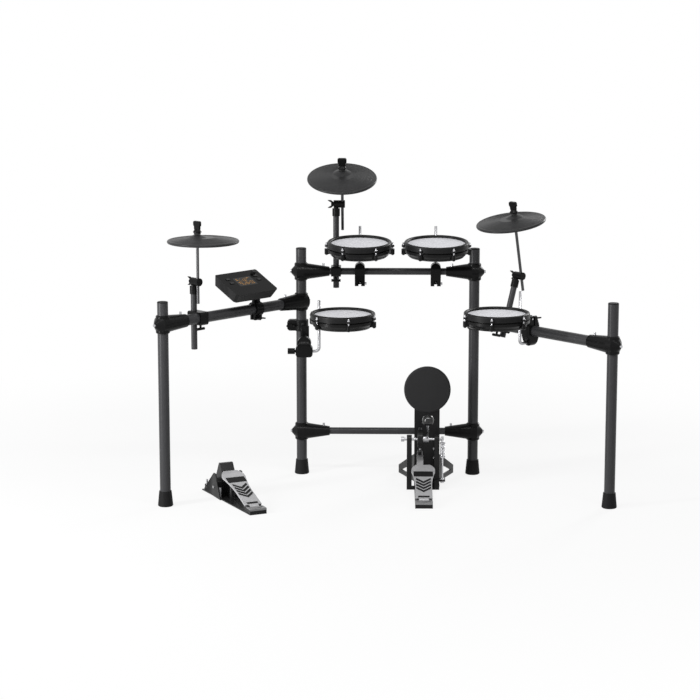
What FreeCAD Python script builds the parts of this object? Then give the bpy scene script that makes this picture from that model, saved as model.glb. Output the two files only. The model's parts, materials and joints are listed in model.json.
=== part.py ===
import FreeCAD, Part
import math
import os

from FreeCAD import Placement, Rotation, Vector

# Electronic drum kit on a four-post tube rack: four mesh pads, three cymbal pads, a sound module,
# a kick tower with its pedal, and a hi-hat pedal. Millimetres and degrees, +Z up. While it is put
# together the origin is on the floor midway between the two inner posts, +X to the player's right
# and -Y towards the player. The finished kit is then centred over its own footprint.

# Clearances: a fixed fit, a pivot pin in its hole, pieces that move past each other, and cuts.
fit = 0.1
pivot_fit = 0.08
running = 0.3
overrun = 6.0

# Rack tubes and where they stand.
post_r = 19.05
post_wall = 1.6
rear_bar_r = 12.7
wing_bar_r = 19.05
bar_wall = 1.5
inner_top = 845.0
outer_top = 726.0
wing_length = 672.0
wing_angle = 46.45
rear_top_z = 762.0
rear_low_z = 162.0
left_wing_z = 650.0
right_wing_z = 581.0

# Rubber foot and top plug of a post.
foot_h = 54.0
foot_top_r = 22.0
foot_bottom_r = 27.0
foot_floor = 9.0
foot_bevel = 2.5
plug_h = 3.5
plug_bevel = 1.5
plug_depth = 14.0

# Moulded T-clamp that joins a bar to a post, with its two lock bolts.
collar_wall = 5.5
collar_h = 64.0
collar_bevel = 3.0
sleeve_root_r = 31.0
sleeve_wall = 4.2
sleeve_reach = 104.0
sleeve_shoulder = 10.0
nose_shoulder = 15.0
nose_reach = 36.0
nose_r = 7.5
bar_stop = 23.0
post_bolt_r = 4.0
post_bolt_head_r = 5.5
post_bolt_head_h = 5.0
bar_bolt_r = 2.8
bar_bolt_head_r = 4.2
bar_bolt_head_h = 9.0
bar_bolt_inset = 22.0

# Mesh pad: shell tray, head, rubber hoop and six tension bolts.
shell_r = 106.0
shell_wall = 3.5
shell_floor = 4.0
shell_h = 43.0
shell_bevel = 6.0
head_t = 1.5
flesh_gap = 0.5
flesh_w = 4.0
flesh_h = 7.0
hoop_over = 11.0
hoop_lap = 2.0
hoop_h = 21.0
pad_h = 54.0
lug_count = 6
lug_r = 7.5
lug_low = 3.0
lug_high = 26.0
lug_bevel = 4.0
rim_over = 10.0
rim_low = 18.0
rim_high = 28.0
ear_over = 20.0
ear_w = 17.0
ear_h = 7.0
ear_low = 33.5
bolt_ring_over = 13.5
bolt_r = 2.8
bolt_head_r = 5.4
bolt_head_h = 9.0
bolt_flange_t = 1.8
bolt_cone_h = 4.5
bolt_neck_r = 3.2
bolt_bite = 10.0
cone_low_r = 34.0
cone_high_r = 9.0
cone_gap = 0.3
hoop_r = shell_r + hoop_over
hoop_inner_r = shell_r - hoop_lap
rim_r = shell_r + rim_over
ear_reach = shell_r + ear_over
bolt_ring_r = shell_r + bolt_ring_over

# Bent rod that carries a pad, and the boss on the pad that slides on it.
rod_r = 5.25
rod_bend_r = 15.0
rod_over = 28.0
rod_offset = shell_r + rod_over
boss_r = 13.5
boss_low = 3.0
boss_high = 29.0
thumb_r = 3.0
thumb_reach = 13.0
thumb_head_r = 8.0
thumb_head_h = 8.0

# Pad clamp that grips a bar: its jaws hang on one side, the rod socket sits on the other.
clamp_w = 37.0
clamp_wall = 7.0
socket_wall = 6.5
socket_gap = 3.2
socket_depth = 6.0
jaw_reach = 53.0
jaw_slot = 7.0
jaw_end_t = 13.0
prong_gap = 10.0
prong_depth = 21.0
prong_pin_r = 3.0
prong_pin_inset = 9.0
prong_pin_head_r = 5.0
prong_pin_head_h = 6.0
swing_bolt_r = 3.0

# Wing nut, as used on clamps and tilters.
wing_hub_r = 7.0
wing_hub_h = 9.0
wing_span = 30.0
wing_h = 12.0
wing_t = 5.0

# Toms on the rear top bar, leaning towards the player. The inner posts stand clear of the pair.
tom_gap = 26.4
tom_post_gap = 52.8
tom_middle_x = 36.8
left_tom_x = tom_middle_x - ear_reach - tom_gap / 2
right_tom_x = tom_middle_x + ear_reach + tom_gap / 2
inner_half_span = 2 * ear_reach + tom_gap / 2 + tom_post_gap
tom_tilt = 4.0
tom_rod_back = 44.0
tom_floor_rise = 78.6
tom_rod_tip = 81.4

# Snare on the left inner post.
snare_heading = 41.0
snare_rod_x = 69.0
snare_rod_y = -110.0
snare_bottom_z = 592.0
snare_rod_low_z = 484.0
snare_rod_tip = 80.0
snare_clamp_z = 562.0
snare_clamp_h = 40.0
rosette_r = 25.0
rosette_t = 13.0
rosette_z = 511.0
rosette_x = 14.0
snare_neck_r = 15.0
snare_block_w = 62.0
snare_block_h = 42.0
snare_block_t = 30.0
snare_block_round = 12.0
snare_knob_r = 11.0
snare_knob_l = 26.0
snare_knob_gap = 3.0

# Floor tom on the right wing bar, its rod on the player's side and its clamp upside down.
floor_along = 283.7
floor_rod_front = 55.7
floor_swivel = 5.4
floor_bottom_z = 619.0
floor_rod_low_z = 538.0
floor_rod_tip = 110.0

# Cymbal stand: tube beside the bar, block clamp, tilter at its top, rod with a threaded end.
stand_tube_r = 11.0
stand_tube_wall = 1.5
stand_wall = 4.0
stand_block_w = 36.0
stand_block_bevel = 5.0
tee_screw_r = 4.0
tee_screw_l = 16.0
tee_handle_r = 5.0
tee_handle_l = 34.0
tilter_r = 14.0
tilter_half_w = 9.0
tilter_sleeve = 24.0
tilter_neck = 2.0
tilter_rod_offset = 23.0
eye_half_w = 9.5
eye_bolt_r = 4.0
thread_r = 4.0

# Cymbal pad, its washers and its wing topper, measured from the rocking centre under the bell.
cymbal_r = 127.0
cymbal_offset = 20.0
cymbal_hole_r = 7.0
cymbal_bell_r = 33.0
cymbal_bell_crown_r = 13.0
cymbal_bell_t = 11.0
cymbal_drop = 19.0
cymbal_t = 9.5
cymbal_edge_t = 9.0
cymbal_crown = 2.5
cymbal_cup_r = 20.0
cymbal_lip = 8.0
cymbal_shoulder_drop = 9.0
cymbal_rock = 6.0
washer_r = 14.0
washer_t = 7.0
felt_t = 7.0
felt_r = 12.0
topper_base_r = 15.0
topper_skirt = 3.0
topper_neck_r = 8.0
topper_base_h = 12.0
topper_stem_w = 25.0
topper_span = 33.0
topper_h = 40.0
topper_head_h = 19.0
topper_corner = 4.0
topper_t = 9.0

# Hi-hat stand on the left wing bar: the rod slides for height.
hi_hat_along_share = 0.7396
hi_hat_low_drop = 116.0
hi_hat_tilter_rise = 127.0
hi_hat_seat_rise = 284.0
hi_hat_rod_tail = 77.0
hi_hat_heading = 90.0

# Crash stand on the rear top bar.
crash_post_gap = 128.0
crash_x = crash_post_gap - inner_half_span
crash_low_drop = 65.0
crash_tilter_rise = 245.0
crash_lean_angle = 19.0
crash_seat = 124.0
crash_tail = 105.0

# Ride stand on the right wing bar, its tube leaning away from the player and its rod back again.
ride_along = 126.0
ride_tube_angle = -18.0
ride_low_drop = 40.0
ride_tilter_rise = 191.7
ride_lean_angle = 10.5
ride_seat = 222.0
ride_tail = 55.0

# Sound module over the left wing bar.
module_w = 200.0
module_d = 134.0
module_h = 38.0
module_corner = 8.0
module_draft = 8.0
module_tilt = 26.6
module_along_share = 0.4241
module_front = 12.6
module_rise = 105.0
module_clamp_shift = 57.0
module_clamp_w = 34.0
module_clamp_wall = 7.0
module_post_w = 26.0
module_post_t = 16.0
screen_w = 86.0
screen_d = 52.0
screen_depth = 2.0
screen_t = 1.6
screen_back = 8.0
button_w = 16.0
button_d = 10.0
button_h = 6.0
button_proud = 2.0
button_travel = 1.2
button_side = 66.0
button_pitch = 24.0
button_back = 6.0
knob_r = 8.0
knob_h = 11.0
knob_bevel = 1.5
knob_spindle_r = 3.0
knob_spindle_l = 9.0
knob_x = 70.0
knob_y = 46.0
jack_r = 3.25
jack_collar_r = 6.0
jack_collar_l = 3.0
jack_depth = 15.0
jack_count = 3
jack_pitch = 36.0

# Kick tower and its pad.
tower_x = 145.0
tower_front = -150.0
tower_w = 92.0
tower_d = 34.0
tower_wall = 3.0
tower_top = 392.0
tower_tongue = 52.0
tower_plate_t = 5.0
gusset_t = 6.0
gusset_spread = 56.0
gusset_back = 137.0
gusset_high = 104.0
gusset_low = 30.0
gusset_hole_shares = ((0.18, 0.16), (0.84, 0.16), (0.18, 0.56))
tower_bolt_r = 4.5
tower_bolt_h = 3.0
tower_bolt_x = 27.0
tower_bolt_z = 96.0
tower_bolt_pitch = 34.0
kick_pad_z = 357.0
kick_pad_r = 84.5
kick_rubber_t = 18.0
kick_rubber_edge_r = 6.0
kick_back_r = 76.0
kick_back_t = 12.0
kick_spacer_r = 34.0
kick_spacer_t = 10.0

# Foot pedals: the cast board is the same on both but for its length.
board_toe_w = 84.0
board_heel_w = 62.0
board_waist_w = 60.0
board_tip_w = 50.0
board_t = 6.0
board_waist_share = 0.42
board_toe_share = 0.8
board_waist_bow = 2.5
board_toe_bow = 5.0
board_neck_w = 24.0
board_neck_root = 10.0
board_rest = 17.3
hinge_z = 18.0
hinge_pin_r = 3.0
hinge_barrel_r = 6.5
hinge_barrel_l = 34.0
hinge_ear_w = 9.0
chevron_w = 8.0
chevron_pitch = 20.0
chevron_rise = 22.0
chevron_inset = 6.0
chevron_drop = 126.0
chevron_count = 4
label_drop = 82.0
label_band = 36.0
label_w = 70.0
label_depth = 0.8
heel_slot_y = 14.0
heel_slot_l = 6.0
heel_slot_w = 36.0
heel_plate_t = 3.0
heel_chevron_y = 6.0
heel_chevron_rise = 13.0
heel_chevron_w = 6.0

# Kick pedal.
pedal_x = 130.0
pedal_heel_y = -514.0
pedal_hinge_back = 42.0
kick_board_l = 304.0
kick_board_neck = 69.0
hoop_clamp_w = 34.0
hoop_clamp_h = 10.0
hoop_clamp_grip = 16.0
pedal_plate_t = 4.0
upright_gap = 41.0
upright_t = 18.0
upright_front = 22.0
upright_back = 22.0
upright_top_r = 16.0
axle_y = -225.0
axle_z = 183.0
axle_r = 5.0
axle_left = 80.0
axle_right = 66.0
axle_knob_r = 9.0
axle_knob_l = 12.0
cam_r = 34.0
cam_half_w = 9.0
cam_shift = -11.0
beater_angle = 53.0
beater_l = 165.0
beater_tail = 22.0
beater_r = 4.0
beater_hub_r = 13.0
beater_hub_w = 20.0
beater_head_r = 20.5
beater_head_l = 26.0
beater_core_r = 17.5
beater_band_share = 0.45
beater_hub_gap = 2.0
rocker_arm = 26.0
rocker_w = 12.0
rocker_t = 8.0
rocker_hub_r = 10.0

# Chain from the cam to the toe of the kick board: two strands of roller links.
chain_pitch = 11.0
chain_plate_r = 3.6
chain_plate_t = 0.9
chain_inner_t = 2.6
chain_pin_r = 1.2
chain_side_gap = 0.15
chain_strand = 4.2
chain_straight_links = 5
chain_wrap_links = 6
chain_hook_t = 3.0
chain_hook_l = 9.0

# Return spring of the kick pedal, with the cups that hold its ends and its threaded rod.
spring_r = 7.0
spring_wire_r = 1.15
spring_turns = 13
spring_pitch = 3.4
spring_cup_r = 9.5
spring_cup_t = 4.0
spring_seat_gap = 0.3
spring_rod_r = 3.0
spring_nut_r = 7.0
spring_nut_h = 6.0
spring_foot_w = 20.0
spring_foot_t = 5.0
spring_foot_z = 34.0

# Hi-hat pedal.
hat_pedal_x = -447.0
hat_pedal_y = -603.0
hat_pedal_heading = 25.0
hat_pedal_l = 404.0
hat_pedal_rear_w = 116.0
hat_board_l = 242.0
hat_side_t = 4.0
hat_side_gap = 48.0
hat_side_high = 86.0
hat_side_low = 8.0
hat_side_front = 48.0
hat_side_back = 6.0
hat_side_crest = 16.0
hat_housing_w = 50.0
hat_housing_l = 66.0
hat_housing_h = 117.0
hat_housing_front_h = 84.0
hat_housing_rise = 22.0
hat_housing_crest = 10.0
hat_housing_back_h = 58.0
hat_housing_gap = 12.0
hat_bridge_h = 54.0
hat_stop_r = 11.0
hat_stop_inset = 22.0
hat_stop_h = 46.0
hat_post_r = 5.0
hat_post_h = 36.0
hat_post_x = -42.0
hat_post_inset = 23.0
hat_boss_r = 8.0
hat_boss_h = 26.0
hat_stud_r = 3.5
hat_stud_h = 26.0
hat_stud_x = -47.0
hat_stud_inset = 22.0
hat_screw_r = 5.0
hat_screw_t = 2.5
hat_screw_z = 34.0


def cylinder(radius, start, end):
    """Solid rod between two points."""
    along = end - start
    return Part.makeCylinder(radius, along.Length, start, along)


def tube(radius, wall, start, end):
    """Open tube between two points."""
    return cylinder(radius, start, end).cut(cylinder(radius - wall, start, end))


def block(low, high):
    """Box between two opposite corners."""
    size = high - low
    return Part.makeBox(size.x, size.y, size.z, low)


def rounded_block(low, high, axis, radius):
    """Box whose four edges along an axis are rounded."""
    solid = block(low, high)
    edges = []
    for edge in solid.Edges:
        way = edge.Vertexes[1].Point - edge.Vertexes[0].Point
        if abs(way.dot(axis)) > way.Length / 2:
            edges.append(edge)
    return solid.makeFillet(radius, edges)


def outline(*steps):
    """Closed wire through points. A pair of points is an arc that passes the first and ends at the second."""
    edges = []
    last = steps[0]
    for step in steps[1:] + (steps[0],):
        if isinstance(step, tuple):
            edges.append(Part.Arc(last, step[0], step[1]).toShape())
            last = step[1]
        elif not step.isEqual(last, fit * fit):
            edges.append(Part.LineSegment(last, step).toShape())
            last = step
    return Part.Wire(edges)


def prism(wire, reach):
    """Flat outline pushed along a vector."""
    return Part.Face(wire).extrude(reach)


def lathe(*steps):
    """Profile of (radius, height) points, or arcs as pairs of them, turned about the Z axis."""
    def upright(step):
        if isinstance(step[0], tuple):
            return tuple(upright(point) for point in step)
        return Vector(step[0], 0, step[1])
    wire = outline(*[upright(step) for step in steps])
    return Part.Face(wire).revolve(Vector(0, 0, 0), Vector(0, 0, 1), 360)


def placed(solid, frame):
    """Copy of a solid carried into a frame."""
    moved = solid.copy()
    moved.Placement = frame.multiply(solid.Placement)
    return moved


def carried(solids, frame):
    return [placed(solid, frame) for solid in solids]


def turned(axis, degrees, centre=Vector(0, 0, 0)):
    """Frame turned about an axis through a centre."""
    return Placement(Vector(0, 0, 0), Rotation(axis, degrees), centre)


def shifted(x, y, z):
    return Placement(Vector(x, y, z), Rotation())


X_AXIS = Vector(1, 0, 0)
Y_AXIS = Vector(0, 1, 0)
Z_AXIS = Vector(0, 0, 1)
TO_X = Rotation(Y_AXIS, 90)
TO_MINUS_Y = Rotation(X_AXIS, 90)

nodes = {}


def node(name, *solids):
    nodes[name] = list(solids)


# Rack
def post(top):
    """Upright tube, its lower end standing in its foot."""
    return tube(post_r, post_wall, Vector(0, 0, foot_floor), Vector(0, 0, top))


def foot():
    """Tapered rubber boot round the lower end of a post."""
    return lathe(
        (0, 0), (foot_bottom_r - foot_bevel, 0), (foot_bottom_r, foot_bevel), (foot_top_r, foot_h),
        (post_r + fit, foot_h), (post_r + fit, foot_floor), (0, foot_floor))


def plug(top):
    """Cap pushed into the open top of a post."""
    spigot_r = post_r - post_wall - fit
    return lathe(
        (0, top - plug_depth), (spigot_r, top - plug_depth), (spigot_r, top), (post_r, top),
        (post_r, top + plug_h - plug_bevel), (post_r - plug_bevel, top + plug_h), (0, top + plug_h))


def tee_clamp(bar_r, gap):
    """T-clamp with the post along Z and the bar along +X. Returns its body and its two lock bolts."""
    collar_r = post_r + collar_wall
    half = collar_h / 2
    end_r = bar_r + sleeve_wall
    spindle = lathe(
        (0, -nose_reach), (nose_r, -nose_reach), (sleeve_root_r, -nose_shoulder),
        (sleeve_root_r, sleeve_shoulder), (end_r, sleeve_reach), (0, sleeve_reach))
    collar = lathe(
        (0, -half), (collar_r - collar_bevel, -half), (collar_r, collar_bevel - half),
        (collar_r, half - collar_bevel), (collar_r - collar_bevel, half), (0, half))
    body = collar.fuse(placed(spindle, Placement(Vector(0, 0, 0), TO_X)))
    body = body.cut(cylinder(post_r + gap, Vector(0, 0, -half - overrun), Vector(0, 0, half + overrun)))
    body = body.cut(cylinder(bar_r + fit, Vector(bar_stop, 0, 0), Vector(sleeve_reach + overrun, 0, 0)))
    post_bolt = cylinder(post_bolt_r, Vector(-post_r - gap, 0, 0), Vector(-nose_reach, 0, 0))
    head_end = Vector(-nose_reach - post_bolt_head_h, 0, 0)
    post_bolt = post_bolt.fuse(cylinder(post_bolt_head_r, Vector(-nose_reach, 0, 0), head_end))
    body = body.cut(cylinder(post_bolt_r + fit, Vector(-nose_reach - overrun, 0, 0), Vector(-post_r, 0, 0)))
    bolt_x = sleeve_reach - bar_bolt_inset
    slope = (sleeve_root_r - end_r) / (sleeve_reach - sleeve_shoulder)
    cone_r = end_r + slope * bar_bolt_inset
    seat_z = cone_r + slope * bar_bolt_head_r
    bar_bolt = cylinder(bar_bolt_r, Vector(bolt_x, 0, bar_r), Vector(bolt_x, 0, seat_z))
    head_top = Vector(bolt_x, 0, seat_z + bar_bolt_head_h)
    bar_bolt = bar_bolt.fuse(cylinder(bar_bolt_head_r, Vector(bolt_x, 0, seat_z), head_top))
    hole = cylinder(bar_bolt_r + fit, Vector(bolt_x, 0, 0), Vector(bolt_x, 0, seat_z + overrun))
    return body.cut(hole), [post_bolt, bar_bolt]


left_post = Vector(-inner_half_span, 0, 0)
right_post = Vector(inner_half_span, 0, 0)
left_out = Vector(-math.cos(math.radians(wing_angle)), -math.sin(math.radians(wing_angle)), 0)
right_out = Vector(-left_out.x, left_out.y, 0)


def make_rear_frame():
    posts = []
    ends = []
    for place in (left_post, right_post):
        frame = Placement(place, Rotation())
        posts.append(placed(post(inner_top), frame))
        ends += carried([foot(), plug(inner_top)], frame)
    bars = []
    clamps = []
    bolts = []
    for height in (rear_top_z, rear_low_z):
        start = Vector(bar_stop - inner_half_span, 0, height)
        bars.append(tube(rear_bar_r, bar_wall, start, Vector(-start.x, 0, height)))
        for place, heading in ((left_post, 0), (right_post, 180)):
            frame = Placement(place + Vector(0, 0, height), Rotation(Z_AXIS, heading))
            body, pair = tee_clamp(rear_bar_r, fit)
            clamps.append(placed(body, frame))
            bolts += carried(pair, frame)
    node("inner_posts", *posts)
    node("rear_bars", *bars)
    node("rear_clamps", *clamps)
    node("rear_clamp_bolts", *bolts)
    node("inner_post_ends", *ends)


def make_wing(side, corner, out, height):
    """One wing: bar from the inner post out to its own front post, swinging on the inner post."""
    lift = Vector(0, 0, height)
    front = corner + out * wing_length
    heading = math.degrees(math.atan2(out.y, out.x))
    start = corner + out * bar_stop + lift
    end = corner + out * (wing_length - bar_stop) + lift
    frame = Placement(front, Rotation())
    clamps = []
    bolts = []
    for place, angle, gap in ((corner, heading, running), (front, heading + 180, fit)):
        body, pair = tee_clamp(wing_bar_r, gap)
        clamp_frame = Placement(place + lift, Rotation(Z_AXIS, angle))
        clamps.append(placed(body, clamp_frame))
        bolts += carried(pair, clamp_frame)
    node(side + "_wing_bar", tube(wing_bar_r, bar_wall, start, end))
    node(side + "_outer_post", placed(post(outer_top), frame))
    node(side + "_wing_clamps", *clamps)
    node(side + "_wing_bolts", *bolts)
    node(side + "_outer_post_ends", *carried([foot(), plug(outer_top)], frame))


# Mesh pads, built about their own centre with the shell's floor at zero and the rod at +Y.
def around(solid, count, phase):
    """Copies of a solid spaced evenly about the Z axis."""
    return [placed(solid, turned(Z_AXIS, phase + 360 * index / count)) for index in range(count)]


lug_phase = 180 / lug_count


def pad_shell():
    inner_r = shell_r - shell_wall
    flare_low = rim_low - rim_r + shell_r
    tray = lathe(
        (0, 0), (shell_r - shell_bevel, 0), (shell_r, shell_bevel), (shell_r, flare_low), (rim_r, rim_low),
        (rim_r, rim_high), (shell_r, rim_high), (shell_r, shell_h),
        (inner_r, shell_h), (inner_r, shell_floor), (0, shell_floor))
    lug = lathe(
        (0, lug_low), (lug_r - lug_bevel, lug_low), (lug_r, lug_low + lug_bevel), (lug_r, lug_high),
        (0, lug_high))
    lug_web = block(Vector(inner_r, -lug_r, lug_low + lug_bevel), Vector(bolt_ring_r, lug_r, lug_high))
    lug = placed(lug, shifted(bolt_ring_r, 0, 0)).fuse(lug_web)
    bore = cylinder(bolt_r + fit, Vector(bolt_ring_r, 0, lug_high - bolt_bite),
                    Vector(bolt_ring_r, 0, lug_high + overrun))
    lugs = around(lug.cut(bore), lug_count, 90 + lug_phase)
    boss = cylinder(boss_r, Vector(0, rod_offset, boss_low), Vector(0, rod_offset, boss_high))
    web = block(Vector(-boss_r, inner_r, boss_low), Vector(boss_r, rod_offset, boss_high))
    tray = tray.fuse(lugs + [boss.fuse(web)])
    core = cylinder(inner_r, Vector(0, 0, shell_floor), Vector(0, 0, shell_h + overrun))
    hole = cylinder(rod_r + running, Vector(0, rod_offset, -overrun), Vector(0, rod_offset, shell_h))
    thumb_z = (boss_low + boss_high) / 2
    thumb_hole = cylinder(thumb_r + fit, Vector(0, rod_offset, thumb_z),
                          Vector(0, rod_offset + boss_r + overrun, thumb_z))
    tray = tray.cut(core).cut(hole).cut(thumb_hole)
    trigger = lathe(
        (0, shell_floor), (cone_low_r, shell_floor), (cone_high_r, shell_h - cone_gap),
        (0, shell_h - cone_gap))
    return [tray, trigger]


def pad_head():
    """Mesh head: its flat sheet and the flesh ring that the hoop pulls down."""
    ring_in = shell_r + flesh_gap
    ring_out = ring_in + flesh_w
    return lathe(
        (0, shell_h), (ring_in, shell_h), (ring_in, shell_h - flesh_h), (ring_out, shell_h - flesh_h),
        (ring_out, shell_h + head_t), (0, shell_h + head_t))


def pad_hoop():
    """Rubber-clad hoop with a half-round rim and an ear at each tension bolt."""
    seat = shell_h + head_t
    skirt_in = shell_r + flesh_gap + flesh_w + flesh_gap
    low = pad_h - hoop_h
    crown = (hoop_r - hoop_inner_r) / 2
    ring = lathe(
        (skirt_in, low), (hoop_r, low), (hoop_r, pad_h - crown),
        ((hoop_r - crown, pad_h), (hoop_inner_r, pad_h - crown)), (hoop_inner_r, seat), (skirt_in, seat))
    half = ear_w / 2
    tip = ear_reach - half
    ear = prism(outline(
        Vector(skirt_in, -half, ear_low), Vector(tip, -half, ear_low),
        (Vector(ear_reach, 0, ear_low), Vector(tip, half, ear_low)),
        Vector(skirt_in, half, ear_low)), Vector(0, 0, ear_h))
    ring = ring.fuse(around(ear, lug_count, 90 + lug_phase))
    inside = cylinder(skirt_in, Vector(0, 0, 0), Vector(0, 0, seat))
    hole = cylinder(bolt_r + fit, Vector(bolt_ring_r, 0, 0), Vector(bolt_ring_r, 0, pad_h))
    head_low = Vector(bolt_ring_r, 0, ear_low + ear_h)
    head_room = cylinder(bolt_head_r + fit, head_low, Vector(bolt_ring_r, 0, pad_h))
    return ring.cut([inside] + around(hole.fuse(head_room), lug_count, 90 + lug_phase))


def pad_bolts():
    """Six tension bolts, and the thumb screw that locks the pad on its rod."""
    seat = ear_low + ear_h
    bolt = cylinder(bolt_r, Vector(bolt_ring_r, 0, lug_high - bolt_bite), Vector(bolt_ring_r, 0, seat))
    top = seat + bolt_head_h
    head = lathe(
        (0, seat), (bolt_head_r, seat), (bolt_head_r, seat + bolt_flange_t),
        (bolt_neck_r, seat + bolt_cone_h), (bolt_neck_r, top), (0, top))
    bolt = bolt.fuse(placed(head, shifted(bolt_ring_r, 0, 0)))
    height = (boss_low + boss_high) / 2
    tip = Vector(0, rod_offset + rod_r + running, height)
    neck = tip + Vector(0, thumb_reach, 0)
    thumb = cylinder(thumb_r, tip, neck)
    thumb = thumb.fuse(cylinder(thumb_head_r, neck, neck + Vector(0, thumb_head_h, 0)))
    return around(bolt, lug_count, 90 + lug_phase) + [thumb]


def bent_rod(top, corner, end):
    """Steel rod from its top down to a corner, round a bend, and along to its end."""
    up = (top - corner).normalize()
    along = (end - corner).normalize()
    before = corner + up * rod_bend_r
    after = corner + along * rod_bend_r
    centre = corner + (up + along) * rod_bend_r
    middle = centre - (up + along).normalize() * rod_bend_r
    path = Part.Wire([
        Part.LineSegment(top, before).toShape(),
        Part.Arc(before, middle, after).toShape(),
        Part.LineSegment(after, end).toShape()])
    section = Part.Wire(Part.Circle(top, up, rod_r).toShape())
    return path.makePipeShell([section], True, False)


def wing_nut(axis_start, axis_end):
    """Hub with two wings. It is built along +Z and then laid from one point towards another."""
    hub = cylinder(wing_hub_r, Vector(0, 0, 0), Vector(0, 0, wing_hub_h))
    half = wing_span / 2
    thick = wing_t / 2
    wings = prism(outline(
        Vector(-wing_hub_r, -thick, 0), Vector(wing_hub_r, -thick, 0),
        Vector(half, -thick, wing_hub_h), Vector(half, -thick, wing_hub_h + wing_h),
        Vector(wing_hub_r, -thick, wing_hub_h), Vector(-wing_hub_r, -thick, wing_hub_h),
        Vector(-half, -thick, wing_hub_h + wing_h), Vector(-half, -thick, wing_hub_h)), Vector(0, wing_t, 0))
    return placed(hub.fuse(wings), Placement(axis_start, Rotation(Z_AXIS, axis_end - axis_start)))


def pad_clamp(bar_r, socket_z, way):
    """Clamp on a bar along X. Its blind rod socket opens along Y, its jaws reach the other way."""
    up = 1 if socket_z > 0 else -1
    half = clamp_w / 2
    ring_r = bar_r + clamp_wall
    socket_r = rod_r + socket_wall
    crown = abs(socket_z) + socket_r
    side = outline(
        Vector(-half, -jaw_end_t, -jaw_reach), Vector(-half, jaw_end_t, -jaw_reach),
        Vector(-half, ring_r, -bar_r), Vector(-half, ring_r, bar_r),
        Vector(-half, socket_r, crown), Vector(-half, -socket_r, crown),
        Vector(-half, -ring_r, bar_r), Vector(-half, -ring_r, -bar_r))
    arch_z = crown - half
    notch = prong_gap / 2
    notch_top = prong_depth - jaw_reach
    front = outline(
        Vector(-half, -ring_r, -jaw_reach), Vector(-notch, -ring_r, -jaw_reach),
        Vector(-notch, -ring_r, notch_top), Vector(notch, -ring_r, notch_top),
        Vector(notch, -ring_r, -jaw_reach), Vector(half, -ring_r, -jaw_reach),
        Vector(half, -ring_r, arch_z), (Vector(0, -ring_r, crown), Vector(-half, -ring_r, arch_z)))
    body = prism(side, Vector(clamp_w, 0, 0)).common(prism(front, Vector(0, 2 * ring_r, 0)))
    body = body.cut(cylinder(bar_r + running, Vector(-clamp_w, 0, 0), Vector(clamp_w, 0, 0)))
    slot = jaw_slot / 2
    body = body.cut(block(Vector(-clamp_w, -slot, -jaw_reach - overrun), Vector(clamp_w, slot, 0)))
    rod_z = abs(socket_z)
    socket_end = Vector(0, -way * (socket_depth + fit), rod_z)
    body = body.cut(cylinder(rod_r + fit, socket_end, Vector(0, way * 2 * ring_r, rod_z)))
    pin_z = prong_pin_inset - jaw_reach
    pin_y = -(jaw_slot + 2 * jaw_end_t) / 4
    pin = cylinder(prong_pin_r, Vector(-half, pin_y, pin_z), Vector(half, pin_y, pin_z))
    head = Vector(half + prong_pin_head_h, pin_y, pin_z)
    pin_far = Vector(clamp_w, pin_y, pin_z)
    body = body.cut(cylinder(prong_pin_r + fit, Vector(-clamp_w, pin_y, pin_z), pin_far))
    pin = pin.fuse(cylinder(prong_pin_head_r, Vector(half, pin_y, pin_z), head))
    flare = (ring_r - jaw_end_t) / (jaw_reach - bar_r)
    seat = Vector(0, jaw_end_t + flare * (prong_pin_inset + wing_hub_r) + fit, pin_z)
    swing = cylinder(swing_bolt_r, Vector(0, pin_y, pin_z), seat)
    nut = wing_nut(seat, seat + Y_AXIS)
    solids = [body, pin.fuse(swing), nut]
    if up > 0:
        return solids
    return carried(solids, turned(Y_AXIS, 180))


def make_pad(name, pad_frame, arm):
    """Nodes of one pad and of the rod and clamp that carry it."""
    node(name + "_shell", *carried(pad_shell(), pad_frame))
    node(name + "_hoop", placed(pad_hoop(), pad_frame))
    node(name + "_head", placed(pad_head(), pad_frame))
    node(name + "_bolts", *carried(pad_bolts(), pad_frame))
    node(name + "_arm", *arm)


def make_tom(name, x):
    bar = Placement(Vector(x, 0, rear_top_z), Rotation(X_AXIS, tom_tilt))
    socket_z = rear_bar_r + rod_r + socket_gap
    top = Vector(0, tom_rod_back, tom_floor_rise + tom_rod_tip)
    corner = Vector(0, tom_rod_back, socket_z)
    end = Vector(0, -socket_depth, socket_z)
    arm = pad_clamp(rear_bar_r, socket_z, 1) + [bent_rod(top, corner, end)]
    pad = bar.multiply(shifted(0, tom_rod_back - rod_offset, tom_floor_rise))
    make_pad(name, pad, carried(arm, bar))


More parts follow.
